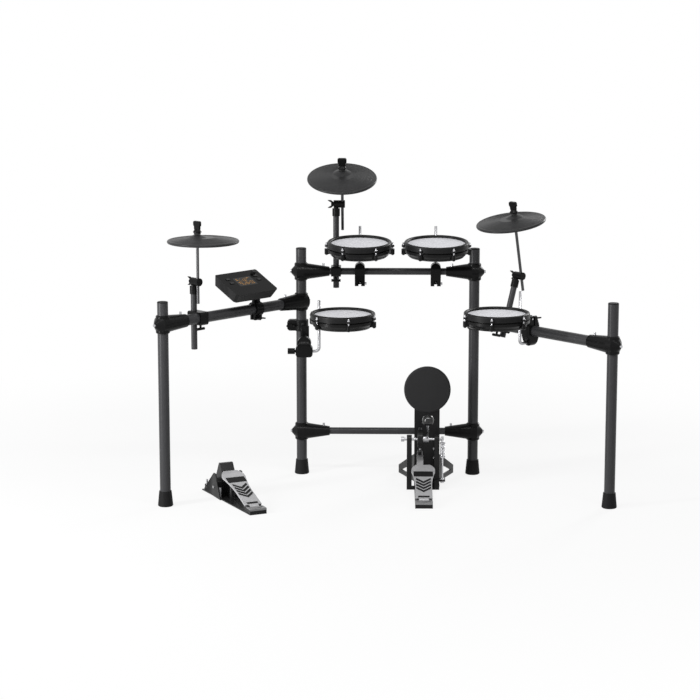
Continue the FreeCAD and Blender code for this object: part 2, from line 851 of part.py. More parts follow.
def snare_clamp():
    """Post clamp with a rosette arm, seen from the post's axis, and the block that grips the rod."""
    half = snare_clamp_h / 2
    ring_r = post_r + clamp_wall
    lobe = ring_r + jaw_end_t
    collar = cylinder(ring_r, Vector(0, 0, snare_clamp_z - half), Vector(0, 0, snare_clamp_z + half))
    jaws = rounded_block(Vector(-lobe - jaw_end_t, -jaw_end_t, snare_clamp_z - half),
                         Vector(0, jaw_end_t, snare_clamp_z + half), Y_AXIS, snare_block_round)
    arm_y = snare_rod_y + snare_block_t
    neck = cylinder(snare_neck_r, Vector(rosette_x, 0, rosette_z), Vector(rosette_x, arm_y, rosette_z))
    web = block(Vector(rosette_x - snare_neck_r, -ring_r, rosette_z),
                Vector(rosette_x + snare_neck_r, -post_r, snare_clamp_z))
    rosette = cylinder(rosette_r, Vector(rosette_x, arm_y, rosette_z),
                       Vector(rosette_x, arm_y - rosette_t, rosette_z))
    body = collar.fuse([jaws, neck, web, rosette])
    low = min(rosette_z, snare_rod_low_z) - snare_block_h
    body = body.cut(cylinder(post_r + running, Vector(0, 0, low), Vector(0, 0, snare_clamp_z + clamp_w)))
    slot = jaw_slot / 2
    body = body.cut(block(Vector(-2 * lobe, -slot, snare_clamp_z - clamp_w),
                          Vector(0, slot, snare_clamp_z + clamp_w)))
    pinch_x = -lobe
    pinch = cylinder(swing_bolt_r, Vector(pinch_x, jaw_end_t, snare_clamp_z),
                     Vector(pinch_x, -jaw_end_t - fit, snare_clamp_z))
    body = body.cut(cylinder(swing_bolt_r + fit, Vector(pinch_x, lobe, snare_clamp_z),
                             Vector(pinch_x, -lobe, snare_clamp_z)))
    nut_at = Vector(pinch_x, -jaw_end_t - fit, snare_clamp_z)
    nut = wing_nut(nut_at, nut_at - Y_AXIS)
    face_y = arm_y - rosette_t - fit
    plate = cylinder(rosette_r, Vector(rosette_x, face_y, rosette_z),
                     Vector(rosette_x, face_y - rosette_t, rosette_z))
    left = rosette_x - snare_block_w / 2
    low_z = snare_rod_low_z - snare_block_h / 2
    grip = rounded_block(Vector(left, face_y - snare_block_t, low_z),
                         Vector(left + snare_block_w, face_y, snare_rod_low_z + snare_block_h / 2),
                         Y_AXIS, snare_block_round)
    grip = grip.fuse(plate)
    bore = cylinder(rod_r + fit, Vector(left - overrun, snare_rod_y, snare_rod_low_z),
                    Vector(left + snare_block_w + overrun, snare_rod_y, snare_rod_low_z))
    knob_start = Vector(left - snare_knob_gap, snare_rod_y, snare_rod_low_z)
    knob = cylinder(snare_knob_r, knob_start, knob_start - Vector(snare_knob_l, 0, 0))
    knob = knob.fuse(cylinder(rod_r, knob_start, Vector(left + snare_knob_gap, snare_rod_y, snare_rod_low_z)))
    return [body, pinch, nut, grip.cut(bore), knob]


def make_snare():
    post_frame = Placement(left_post, Rotation())
    top = Vector(snare_rod_x, snare_rod_y, snare_bottom_z + snare_rod_tip)
    corner = Vector(snare_rod_x, snare_rod_y, snare_rod_low_z)
    end = Vector(rosette_x - snare_block_w / 2 + 2 * snare_knob_gap, snare_rod_y, snare_rod_low_z)
    arm = snare_clamp() + [bent_rod(top, corner, end)]
    rod_foot = left_post + Vector(snare_rod_x, snare_rod_y, snare_bottom_z)
    pad = Placement(rod_foot, Rotation(Z_AXIS, snare_heading)).multiply(shifted(0, -rod_offset, 0))
    make_pad("snare", pad, carried(arm, post_frame))


def right_bar_frame(along):
    """Frame on the right wing bar: X out along it, Y away from the player."""
    return Placement(right_post + right_out * along + Vector(0, 0, right_wing_z),
                     Rotation(Z_AXIS, -wing_angle))


def left_bar_frame(along):
    """Frame on the left wing bar: X in towards the inner post, Y away from the player."""
    return Placement(left_post + left_out * along + Vector(0, 0, left_wing_z),
                     Rotation(Z_AXIS, wing_angle))


def make_floor_tom():
    bar = right_bar_frame(floor_along)
    socket_z = floor_rod_low_z - right_wing_z
    top = Vector(0, -floor_rod_front, floor_bottom_z + floor_rod_tip - right_wing_z)
    corner = Vector(0, -floor_rod_front, socket_z)
    end = Vector(0, socket_depth, socket_z)
    arm = pad_clamp(wing_bar_r, socket_z, -1) + [bent_rod(top, corner, end)]
    foot_of_rod = Vector(0, -floor_rod_front, floor_bottom_z - right_wing_z)
    pad = bar.multiply(Placement(foot_of_rod, Rotation(Z_AXIS, floor_swivel)))
    make_pad("floor_tom", pad.multiply(shifted(0, -rod_offset, 0)), carried(arm, bar))


# Cymbal stands, built on a frame with the bar along X, the tube along Z and standing at +Y.
def stand_offset(bar_r):
    return bar_r + stand_tube_r + stand_wall


def stand_base(bar_r, low_drop, tilter_rise, tilter_turn):
    """Block clamp with its T-screw, tube, and the fixed half of the tilter."""
    back = stand_offset(bar_r)
    half = stand_block_w / 2
    near = -bar_r - stand_wall
    far = back + stand_tube_r + stand_wall
    bevel = stand_block_bevel
    high = max(half, bar_r + stand_wall)
    body = prism(outline(
        Vector(-half, near + bevel, -high), Vector(-half, far - bevel, -high),
        Vector(-half, far, bevel - high), Vector(-half, far, high - bevel),
        Vector(-half, far - bevel, high), Vector(-half, near + bevel, high),
        Vector(-half, near, high - bevel), Vector(-half, near, bevel - high)), Vector(stand_block_w, 0, 0))
    body = body.cut(cylinder(bar_r + fit, Vector(-stand_block_w, 0, 0), Vector(stand_block_w, 0, 0)))
    body = body.cut(cylinder(stand_tube_r + fit, Vector(0, back, -2 * high), Vector(0, back, 2 * high)))
    screw = cylinder(tee_screw_r, Vector(0, 0, -bar_r - fit), Vector(0, 0, -high - tee_screw_l))
    body = body.cut(cylinder(tee_screw_r + fit, Vector(0, 0, 0), Vector(0, 0, -2 * high)))
    arm = tee_handle_l / 2
    screw = screw.fuse(cylinder(tee_handle_r, Vector(-arm, 0, -high - tee_screw_l),
                                Vector(arm, 0, -high - tee_screw_l)))
    sleeve_top = -tilter_r - tilter_neck
    tube_top = sleeve_top - stand_wall
    upright = tube(stand_tube_r, stand_tube_wall, Vector(0, back, -low_drop),
                   Vector(0, back, tilter_rise + tube_top))
    knuckle = cylinder(tilter_r, Vector(-tilter_half_w, 0, 0), Vector(tilter_half_w, 0, 0))
    neck = cylinder(tilter_half_w, Vector(0, 0, sleeve_top), Vector(0, 0, 0))
    sleeve = cylinder(tilter_r, Vector(0, 0, tube_top - tilter_sleeve), Vector(0, 0, sleeve_top))
    knuckle = knuckle.fuse([neck, sleeve])
    knuckle = knuckle.cut(cylinder(stand_tube_r + fit, Vector(0, 0, tube_top - 2 * tilter_sleeve),
                                   Vector(0, 0, tube_top)))
    bolt_far = Vector(2 * tilter_r, 0, 0)
    knuckle = knuckle.cut(cylinder(eye_bolt_r + pivot_fit, Vector(-2 * tilter_r, 0, 0), bolt_far))
    centre = Placement(Vector(0, back, tilter_rise), Rotation(Z_AXIS, tilter_turn))
    return [body, screw, upright, placed(knuckle, centre)]


def tilter_eye(hole_gap):
    """Eye bolt of a tilter along X, with its wing nut: the eye grips the cymbal rod along Z."""
    near = tilter_half_w + running
    far = tilter_rod_offset + eye_half_w
    eye = cylinder(tilter_r, Vector(near, 0, 0), Vector(far, 0, 0))
    eye = eye.cut(cylinder(rod_r + hole_gap, Vector(tilter_rod_offset, 0, -2 * tilter_r),
                           Vector(tilter_rod_offset, 0, 2 * tilter_r)))
    seat = Vector(-tilter_half_w - running, 0, 0)
    shank = cylinder(eye_bolt_r, seat, Vector(near, 0, 0))
    return [eye.fuse(shank), wing_nut(seat, seat - X_AXIS)]


def rocking_slope():
    return math.tan(math.radians(cymbal_rock)) + fit * fit


def rod_stack(tail, seat):
    """Cymbal rod along Z with its washer, felt and topper. The cymbal rocks about the height named seat."""
    slope = rocking_slope()
    crown = seat + cymbal_bell_t
    shoulder = seat - washer_t
    washer = lathe(
        (thread_r + fit, shoulder), (washer_r, shoulder), (washer_r, seat - slope * washer_r - fit),
        (thread_r + fit, seat - slope * thread_r - fit))
    felt_low = crown + fit
    felt_top = felt_low + slope * felt_r + felt_t
    felt = lathe(
        (thread_r + fit, felt_low + slope * thread_r), (felt_r, felt_low + slope * felt_r),
        (felt_r, felt_top), (thread_r + fit, felt_top))
    end = felt_top + topper_base_h
    rod = cylinder(rod_r, Vector(0, 0, -tail), Vector(0, 0, shoulder))
    rod = rod.fuse(cylinder(thread_r, Vector(0, 0, shoulder), Vector(0, 0, end)))
    skirt_top = felt_top + topper_skirt
    top = felt_top + topper_h
    base = lathe(
        (0, felt_top), (topper_base_r, felt_top), (topper_base_r, skirt_top), (topper_neck_r, end), (0, end))
    stem = topper_stem_w / 2
    half = topper_span / 2
    thick = topper_t / 2
    step = top - topper_head_h
    corner = topper_corner
    blade = prism(outline(
        Vector(-topper_neck_r, -thick, skirt_top), Vector(topper_neck_r, -thick, skirt_top),
        Vector(stem, -thick, end), Vector(stem, -thick, step), Vector(half, -thick, step + corner),
        Vector(half, -thick, top - corner), Vector(half - corner, -thick, top),
        Vector(corner - half, -thick, top), Vector(-half, -thick, top - corner),
        Vector(-half, -thick, step + corner), Vector(-stem, -thick, step), Vector(-stem, -thick, end)),
        Vector(0, topper_t, 0))
    bore = cylinder(thread_r + fit, Vector(0, 0, felt_top - overrun), Vector(0, 0, end))
    return [rod, washer, felt, base.fuse(blade).cut(bore)]


def cymbal_pad():
    """Bow of the cymbal about its own centre, with the bell over the rod, off centre."""
    drop = cymbal_drop
    base = cymbal_bell_t - cymbal_shoulder_drop
    lip_r = cymbal_r - cymbal_lip
    edge = base - drop
    lip_top = edge + cymbal_edge_t
    crown = ((cymbal_bell_r + lip_r) / 2, (base + lip_top) / 2 + cymbal_crown)
    bow = lathe(
        (0, base), (cymbal_bell_r, base), (crown, (lip_r, lip_top)),
        ((cymbal_r, edge + cymbal_edge_t / 2), (lip_r, edge)),
        (cymbal_bell_r, base - cymbal_t), (0, base - cymbal_t))
    bell = lathe(
        (0, 0), (cymbal_bell_r, 0), (cymbal_bell_r, base),
        (cymbal_bell_crown_r, cymbal_bell_t), (0, cymbal_bell_t))
    pad = placed(bow, shifted(0, -cymbal_offset, 0)).fuse(bell)
    under = cylinder(cymbal_cup_r, Vector(0, 0, -cymbal_r), Vector(0, 0, 0))
    hole = cylinder(cymbal_hole_r, Vector(0, 0, -cymbal_r), Vector(0, 0, cymbal_r))
    return pad.cut(under).cut(hole)


def make_hi_hat():
    bar = left_bar_frame(wing_length * hi_hat_along_share)
    base = stand_base(wing_bar_r, hi_hat_low_drop, hi_hat_tilter_rise, -90)
    centre = Placement(Vector(0, stand_offset(wing_bar_r), hi_hat_tilter_rise), Rotation(Z_AXIS, -90))
    base += carried(tilter_eye(pivot_fit), centre)
    rod = centre.multiply(shifted(tilter_rod_offset, 0, 0))
    seat = hi_hat_seat_rise - hi_hat_tilter_rise
    node("hi_hat_stand", *carried(base, bar))
    node("hi_hat_rod", *carried(rod_stack(hi_hat_rod_tail, seat), bar.multiply(rod)))
    seat_place = bar.multiply(rod).multVec(Vector(0, 0, seat))
    node("hi_hat_cymbal", placed(cymbal_pad(), Placement(seat_place, Rotation(Z_AXIS, hi_hat_heading))))


def tilting_stand(name, bar, bar_r, low_drop, tilter_rise, lean, seat, tail):
    """Stand whose rod tilts at its top. The rod's lean is measured from the tube, towards the player."""
    centre = Placement(Vector(0, stand_offset(bar_r), tilter_rise), Rotation(X_AXIS, lean))
    rod = centre.multiply(shifted(tilter_rod_offset, 0, 0))
    node(name + "_stand", *carried(stand_base(bar_r, low_drop, tilter_rise, 0), bar))
    moving = carried(tilter_eye(fit), centre) + carried(rod_stack(tail, seat), rod)
    node(name + "_rod", *carried(moving, bar))
    place = bar.multiply(rod).multiply(shifted(0, 0, seat))
    node(name + "_cymbal", placed(cymbal_pad(), place))


def make_crash_and_ride():
    crash_bar = Placement(Vector(crash_x, 0, rear_top_z), Rotation())
    tilting_stand("crash", crash_bar, rear_bar_r, crash_low_drop, crash_tilter_rise,
                  crash_lean_angle, crash_seat, crash_tail)
    ride_bar = right_bar_frame(ride_along).multiply(turned(X_AXIS, ride_tube_angle))
    tilting_stand("ride", ride_bar, wing_bar_r, ride_low_drop, ride_tilter_rise,
                  ride_lean_angle - ride_tube_angle, ride_seat, ride_tail)


# Sound module, built with its top face at zero height and its front edge at -Y.
def module_outline(inset, height):
    half = module_w / 2 - inset
    front = inset - module_d / 2
    back = module_d / 2 - inset
    corner = module_corner
    return outline(
        Vector(-half, front + corner, height), Vector(corner - half, front, height),
        Vector(half - corner, front, height), Vector(half, front + corner, height),
        Vector(half, back - corner / 2, height), Vector(half - corner / 2, back, height),
        Vector(corner / 2 - half, back, height), Vector(-half, back - corner / 2, height))


def button_places():
    places = []
    for side in (-button_side, button_side):
        for row in (0, 1):
            places.append(Vector(side, button_back + row * button_pitch, 0))
    return places


def button(place, grow, low, high):
    half_w = button_w / 2 + grow
    half_d = button_d / 2 + grow
    return block(place + Vector(-half_w, -half_d, low), place + Vector(half_w, half_d, high))


def jack_places():
    """Middles of the sockets where they leave the sloping back, halfway up it."""
    places = []
    for index in range(jack_count):
        x = (index - (jack_count - 1) / 2) * jack_pitch
        places.append(Vector(x, (module_d - module_draft) / 2, -module_h / 2))
    return places


def module_case():
    case = Part.makeLoft([module_outline(module_draft, -module_h), module_outline(0, 0)], True, True)
    half_w = screen_w / 2
    half_d = screen_d / 2
    recess = block(Vector(-half_w, screen_back - half_d, -screen_depth),
                   Vector(half_w, screen_back + half_d, overrun))
    spindle = cylinder(knob_spindle_r + pivot_fit, Vector(knob_x, knob_y, -knob_spindle_l - running),
                       Vector(knob_x, knob_y, overrun))
    well = button_h - button_proud + button_travel
    wells = [button(place, running, -well, overrun) for place in button_places()]
    collars = []
    jacks = []
    for place in jack_places():
        mouth = place + Vector(0, jack_collar_l, 0)
        deep = mouth - Vector(0, jack_depth, 0)
        collars.append(cylinder(jack_collar_r, deep, mouth))
        jacks.append(cylinder(jack_r, deep, mouth))
    case = case.fuse(collars).cut([recess, spindle] + wells + jacks)
    window = block(Vector(fit - half_w, screen_back - half_d + fit, -screen_depth),
                   Vector(half_w - fit, screen_back + half_d - fit, screen_t - screen_depth))
    return [case, window]


def module_clamp(seat_frame):
    """Block on the bar with a wing bolt, and the post that rises into the module's underside."""
    half = module_clamp_w / 2
    ring_r = wing_bar_r + module_clamp_wall
    ring = cylinder(ring_r, Vector(-half, 0, 0), Vector(half, 0, 0))
    lobe = block(Vector(-half, -jaw_end_t, -ring_r - jaw_end_t), Vector(half, jaw_end_t, 0))
    stem = block(Vector(-module_post_w / 2, -module_post_t / 2, 0),
                 Vector(module_post_w / 2, module_post_t / 2, module_rise))
    body = ring.fuse([lobe, stem])
    body = body.cut(cylinder(wing_bar_r + running, Vector(-module_w, 0, 0), Vector(module_w, 0, 0)))
    slot = jaw_slot / 2
    body = body.cut(block(Vector(-module_w, -slot, -2 * ring_r - jaw_end_t), Vector(module_w, slot, 0)))
    above = block(Vector(-module_w, -module_w, -module_h), Vector(module_w, module_w, module_w))
    body = body.cut(placed(above, seat_frame))
    bolt_z = -ring_r - jaw_end_t / 2
    tip = Vector(0, jaw_end_t, bolt_z)
    seat = Vector(0, -jaw_end_t - fit, bolt_z)
    body = body.cut(cylinder(swing_bolt_r + fit, tip + Y_AXIS * ring_r, seat - Y_AXIS * ring_r))
    bolt = cylinder(swing_bolt_r, tip, seat).fuse(wing_nut(seat, seat - Y_AXIS))
    return [body, bolt]


def module_frame():
    """Frame of the module's top face, set on the left wing bar's frame."""
    return Placement(Vector(0, -module_front, module_rise), Rotation(X_AXIS, module_tilt))


def make_module():
    bar = left_bar_frame(wing_length * module_along_share)
    top = bar.multiply(module_frame())
    node("module_case", *carried(module_case(), top))
    shift = shifted(module_clamp_shift, 0, 0)
    seat_frame = shifted(-module_clamp_shift, 0, 0).multiply(module_frame())
    node("module_clamp", *carried(module_clamp(seat_frame), bar.multiply(shift)))
    for index, place in enumerate(button_places()):
        cap = button(place, 0, button_proud - button_h, button_proud)
        node("module_button_" + str(index + 1), placed(cap, top))
    knob = lathe(
        (0, -knob_spindle_l), (knob_spindle_r, -knob_spindle_l), (knob_spindle_r, running), (knob_r, running),
        (knob_r, knob_h - knob_bevel), (knob_r - knob_bevel, knob_h), (0, knob_h))
    node("module_knob", placed(knob, top.multiply(shifted(knob_x, knob_y, 0))))


# Kick tower
def make_kick_tower():
    half = tower_w / 2
    back = tower_front + tower_d
    column = block(Vector(-half, tower_front, 0), Vector(half, back, tower_top))
    column = column.cut(block(Vector(tower_wall - half, tower_front + tower_wall, tower_plate_t),
                              Vector(half - tower_wall, back + overrun, tower_top - tower_wall)))
    tongue = block(Vector(-half, tower_front - tower_tongue, 0), Vector(half, tower_front, tower_plate_t))
    length = math.hypot(gusset_spread, gusset_back)
    rim = [Vector(0, 0, 0), Vector(length, 0, 0), Vector(length, 0, gusset_low), Vector(0, 0, gusset_high)]
    window = [Vector(along * length, 0, up * gusset_high) for along, up in gusset_hole_shares]
    gusset = prism(outline(*rim), Vector(0, gusset_t, 0))
    gusset = gusset.cut(prism(outline(*window), Vector(0, gusset_t, 0)))
    angle = math.degrees(math.atan2(gusset_back, gusset_spread))
    right = placed(gusset, Placement(Vector(half, back - gusset_t, 0), Rotation(Z_AXIS, angle)))
    left = right.mirror(Vector(0, 0, 0), X_AXIS)
    tower = column.fuse([tongue, right, left])
    bolts = []
    for x in (-tower_bolt_x, tower_bolt_x):
        for z in (tower_bolt_z, tower_bolt_z + tower_bolt_pitch):
            face = Vector(x, tower_front, z)
            bolts.append(cylinder(tower_bolt_r, face, face - Vector(0, tower_bolt_h, 0)))
    frame = shifted(tower_x, 0, 0)
    node("kick_tower", *carried([tower] + bolts, frame))
    edge = kick_rubber_edge_r
    spacer = lathe(
        (0, 0), (kick_spacer_r, 0), (kick_spacer_r, kick_spacer_t), (kick_back_r, kick_spacer_t),
        (kick_back_r, kick_spacer_t + kick_back_t), (0, kick_spacer_t + kick_back_t))
    low = kick_spacer_t + kick_back_t
    high = low + kick_rubber_t
    bow = edge * (1 - math.sqrt(0.5))
    rubber = lathe(
        (0, low), (kick_pad_r, low), (kick_pad_r, high - edge),
        ((kick_pad_r - bow, high - bow), (kick_pad_r - edge, high)), (0, high))
    face = Placement(Vector(tower_x, tower_front, kick_pad_z), TO_MINUS_Y)
    node("kick_pad", *carried([spacer, rubber], face))


# Pedals, built with the middle of the heel's front edge at the origin and the toe towards +Y.
def footboard(length, neck_l):
    """Cast board, flat, with its hinge barrel along X: a straight heel, a waist and a broad, rounded toe."""
    heel = board_heel_w / 2
    waist = board_waist_w / 2
    toe = board_toe_w / 2
    tip = board_tip_w / 2
    near = hinge_barrel_r + running
    wide = length - neck_l
    waist_y = wide * board_waist_share
    toe_y = wide * board_toe_share
    side_x = (waist + toe) / 2 - board_waist_bow
    side_y = (waist_y + toe_y) / 2
    round_x = (toe + tip) / 2 + board_toe_bow
    round_y = (toe_y + wide) / 2 + board_toe_bow
    plate = prism(outline(
        Vector(-heel, near, 0), Vector(heel, near, 0), Vector(waist, waist_y, 0),
        (Vector(side_x, side_y, 0), Vector(toe, toe_y, 0)),
        (Vector(round_x, round_y, 0), Vector(tip, wide, 0)),
        Vector(-tip, wide, 0), (Vector(-round_x, round_y, 0), Vector(-toe, toe_y, 0)),
        (Vector(-side_x, side_y, 0), Vector(-waist, waist_y, 0))), Vector(0, 0, board_t))
    barrel = cylinder(hinge_barrel_r, Vector(-hinge_barrel_l / 2, 0, 0), Vector(hinge_barrel_l / 2, 0, 0))
    tongue = block(Vector(-hinge_barrel_l / 2, 0, 0), Vector(hinge_barrel_l / 2, 2 * near, board_t))
    board = plate.fuse([barrel, tongue])
    if neck_l:
        side = cam_shift - board_neck_w / 2
        board = board.fuse(block(Vector(side, wide - board_neck_root, 0),
                                 Vector(side + board_neck_w, length, board_t)))
    board = board.cut(cylinder(hinge_pin_r + pivot_fit, Vector(-toe, 0, 0), Vector(toe, 0, 0)))
    return board.cut(board_slots(wide))


def chevron(y, half, rise, width):
    """V-shaped slot that points to the heel, cut down through a plate."""
    low = -overrun
    return prism(outline(
        Vector(-half, y + rise, low), Vector(0, y, low), Vector(half, y + rise, low),
        Vector(half, y + rise + width, low), Vector(0, y + width, low), Vector(-half, y + rise + width, low)),
        Vector(0, 0, board_t + 2 * overrun))


def board_slots(wide):
    """Rows of chevrons, a plain recessed band above them and a short slot above the hinge."""
    half = board_waist_w / 2 - chevron_inset
    cuts = []
    for index in range(chevron_count):
        cuts.append(chevron(wide - chevron_drop - index * chevron_pitch, half, chevron_rise, chevron_w))
    band = label_w / 2
    low = wide - label_drop
    over = board_t + overrun
    cuts.append(block(Vector(-band, low, board_t - label_depth), Vector(band, low + label_band, over)))
    bar = heel_slot_w / 2
    cuts.append(block(Vector(-bar, heel_slot_y, -overrun), Vector(bar, heel_slot_y + heel_slot_l, over)))
    return cuts


def heel_block():
    """Block under the heel with two ears, the hinge pin, and the plate under the player's heel."""
    half = board_heel_w / 2
    front = pedal_hinge_back - hinge_barrel_r - running
    base = block(Vector(-half, 0, 0), Vector(half, front, hinge_z))
    solids = [base]
    inner = hinge_barrel_l / 2 + running
    for side in (-1, 1):
        x = side * inner
        ear = block(Vector(min(x, x + side * hinge_ear_w), 0, 0),
                    Vector(max(x, x + side * hinge_ear_w), pedal_hinge_back, hinge_z))
        round_end = cylinder(hinge_barrel_r, Vector(x, pedal_hinge_back, hinge_z),
                             Vector(x + side * hinge_ear_w, pedal_hinge_back, hinge_z))
        solids.append(ear.fuse(round_end))
    reach = inner + hinge_ear_w
    pin_end = Vector(reach, pedal_hinge_back, hinge_z)
    pin = cylinder(hinge_pin_r, Vector(-reach, pedal_hinge_back, hinge_z), pin_end)
    cover = block(Vector(-half, 0, 0), Vector(half, front, heel_plate_t))
    cover = cover.cut(chevron(heel_chevron_y, half - chevron_inset, heel_chevron_rise, heel_chevron_w))
    return solids, [pin, placed(cover, shifted(0, 0, hinge_z))]


def joined(first, rest):
    """One solid out of several that meet."""
    return first.fuse(rest).removeSplitter()


kick_frame = shifted(pedal_x, pedal_heel_y, 0)
axle_back = axle_y - pedal_heel_y
right_upright_x = upright_gap + upright_t
rocker_x = axle_right + rocker_t / 2
spring_y = axle_back - rocker_arm
spring_top = axle_z - rocker_w / 2 - spring_cup_t - spring_seat_gap - spring_wire_r
spring_low = spring_top - spring_turns * spring_pitch
chain_y = axle_back + cam_r + chain_plate_r + 3 * running
raised = Placement(Vector(0, pedal_hinge_back, hinge_z), Rotation(X_AXIS, board_rest))


def pedal_frame():
    """Base plate, heel block, two uprights with the axle's bearings, and the spring's anchor."""
    heel = board_heel_w / 2
    wide = right_upright_x
    far = axle_back + upright_back
    front = axle_back - upright_front
    plate = prism(outline(
        Vector(-heel, 0, 0), Vector(heel, 0, 0), Vector(heel, front, 0), Vector(wide, front, 0),
        Vector(wide, far, 0), Vector(-wide, far, 0), Vector(-wide, front, 0), Vector(-heel, front, 0)),
        Vector(0, 0, pedal_plate_t))
    foot_block, heel_top = heel_block()
    solids = list(foot_block)
    for x in (-wide, upright_gap):
        upright = prism(outline(
            Vector(x, front, 0), Vector(x, far, 0),
            Vector(x, axle_back + upright_top_r, axle_z),
            (Vector(x, axle_back, axle_z + upright_top_r), Vector(x, axle_back - upright_top_r, axle_z))),
            Vector(upright_t, 0, 0))
        solids.append(upright)
    grip = far + hoop_clamp_grip
    half = hoop_clamp_w / 2
    jaw_low = tower_plate_t + fit
    solids.append(block(Vector(-half, far, jaw_low), Vector(half, grip, jaw_low + hoop_clamp_h)))
    solids.append(block(Vector(-half, far - hoop_clamp_grip, 0), Vector(half, far, jaw_low + hoop_clamp_h)))
    anchor_x = rocker_x + spring_foot_w / 2
    solids.append(block(Vector(upright_gap, spring_y - spring_foot_w / 2, spring_foot_z),
                        Vector(anchor_x, axle_back, spring_foot_z + spring_foot_t)))
    frame = joined(plate, solids)
    frame = frame.cut(cylinder(axle_r + pivot_fit, Vector(-2 * wide, axle_back, axle_z),
                               Vector(2 * wide, axle_back, axle_z)))
    frame = frame.cut(cylinder(hinge_pin_r + fit, Vector(-wide, pedal_hinge_back, hinge_z),
                               Vector(wide, pedal_hinge_back, hinge_z)))
    under = spring_foot_z - spring_nut_h
    rod_top = Vector(rocker_x, spring_y, axle_z)
    frame = frame.cut(cylinder(spring_rod_r + fit, Vector(rocker_x, spring_y, 0), rod_top))
    cup_low = spring_low - spring_wire_r - spring_seat_gap - spring_cup_t
    stud = cylinder(spring_rod_r, Vector(rocker_x, spring_y, under), Vector(rocker_x, spring_y, cup_low))
    cup = cylinder(spring_cup_r, Vector(rocker_x, spring_y, cup_low),
                   Vector(rocker_x, spring_y, cup_low + spring_cup_t))
    nuts = []
    for z in (under, spring_foot_z + spring_foot_t):
        nut_low = Vector(rocker_x, spring_y, z)
        nuts.append(cylinder(spring_nut_r, nut_low, nut_low + Vector(0, 0, spring_nut_h)))
    return [frame, joined(stud, [cup] + nuts)] + heel_top


def chain_hook():
    """Fork and pin at the toe of the kick board that take the lower ends of the chain."""
    low_pin = Vector(cam_shift, chain_y, axle_z - chain_straight_links * chain_pitch)
    pin = raised.inverse().multVec(low_pin)
    inner = chain_strand + chain_inner_t / 2 + chain_side_gap + chain_plate_t + running
    reach = X_AXIS * (inner + chain_hook_t)
    solids = [cylinder(chain_pin_r, pin - reach, pin + reach)]
    for side in (inner, -inner - chain_hook_t):
        low = Vector(pin.x + side, pin.y - chain_hook_l / 2, 0)
        high = Vector(pin.x + side + chain_hook_t, pin.y + chain_hook_l / 2, pin.z + chain_hook_t)
        solids.append(block(low, high))
    return solids


def beater_frame():
    """Frame on the axle, Z along the beater's shaft at rest."""
    return Placement(Vector(0, axle_back, axle_z), Rotation(X_AXIS, beater_angle))


def beater():
    """Axle with cam, rocker and knob, and the beater's shaft, hub and two-faced head."""
    centre = Vector(0, axle_back, axle_z)
    left_end = centre - Vector(axle_left, 0, 0)
    axle = cylinder(axle_r, left_end, centre + Vector(rocker_x + rocker_t / 2, 0, 0))
    knob = cylinder(axle_knob_r, left_end, left_end + Vector(axle_knob_l, 0, 0))
    cam_middle = centre + Vector(cam_shift, 0, 0)
    cam_side = X_AXIS * cam_half_w
    cam = tube(cam_r, cam_r - axle_r - fit, cam_middle - cam_side, cam_middle + cam_side)
    arm_x = rocker_x - rocker_t / 2
    rocker = cylinder(rocker_hub_r, centre + Vector(arm_x, 0, 0), centre + Vector(arm_x + rocker_t, 0, 0))
    lever = block(Vector(arm_x, spring_y - rocker_w / 2, axle_z - rocker_w / 2),
                  Vector(arm_x + rocker_t, axle_back, axle_z + rocker_w / 2))
    cup_top = axle_z - rocker_w / 2
    cup_low = Vector(rocker_x, spring_y, cup_top - spring_cup_t)
    cup = cylinder(spring_cup_r, cup_low, Vector(rocker_x, spring_y, cup_top))
    shaft_x = tower_x - pedal_x
    hub_low = cam_shift + cam_half_w + beater_hub_gap
    hub_start = centre + Vector(hub_low, 0, 0)
    hub = cylinder(beater_hub_r, hub_start, hub_start + Vector(beater_hub_w, 0, 0))
    spindle = joined(axle, [knob, rocker, lever, cup, hub])
    frame = beater_frame()
    shaft_hole = cylinder(beater_r + fit, Vector(shaft_x, 0, -beater_l), Vector(shaft_x, 0, beater_l))
    spindle = spindle.cut(placed(shaft_hole, frame))
    shaft = cylinder(beater_r, Vector(shaft_x, 0, -beater_tail), Vector(shaft_x, 0, beater_l))
    half = beater_head_l / 2
    band = half * beater_band_share
    head = lathe(
        (0, -half), (beater_core_r, -half), (beater_head_r, -band), (beater_head_r, band),
        (beater_core_r, half), (0, half))
    head = placed(head, Placement(Vector(shaft_x, 0, beater_l), TO_MINUS_Y))
    head = head.cut(cylinder(beater_r + fit, Vector(shaft_x, 0, 0), Vector(shaft_x, 0, beater_l)))
    return [spindle, cam] + carried([shaft, head], frame)


def link_outline(x):
    """Rounded bar shape of one chain link, from one pin to the next along Z."""
    r = chain_plate_r
    p = chain_pitch
    return outline(
        Vector(x, -r, 0), (Vector(x, 0, -r), Vector(x, r, 0)), Vector(x, r, p),
        (Vector(x, 0, p + r), Vector(x, -r, p)))


def chain_link(outer):
    """Outer link with its two pins, or inner link with holes for them."""
    half = chain_inner_t / 2
    low = Vector(0, 0, 0)
    high = Vector(0, 0, chain_pitch)
    if not outer:
        body = prism(link_outline(-half), Vector(chain_inner_t, 0, 0))
        reach = X_AXIS * chain_inner_t
        holes = [cylinder(chain_pin_r + fit, end - reach, end + reach) for end in (low, high)]
        return body.cut(holes)
    side = half + chain_side_gap
    plates = [prism(link_outline(side), X_AXIS * chain_plate_t),
              prism(link_outline(-side - chain_plate_t), X_AXIS * chain_plate_t)]
    reach = X_AXIS * (side + chain_plate_t)
    pins = [cylinder(chain_pin_r, end - reach, end + reach) for end in (low, high)]
    return plates[0].fuse([plates[1]] + pins)


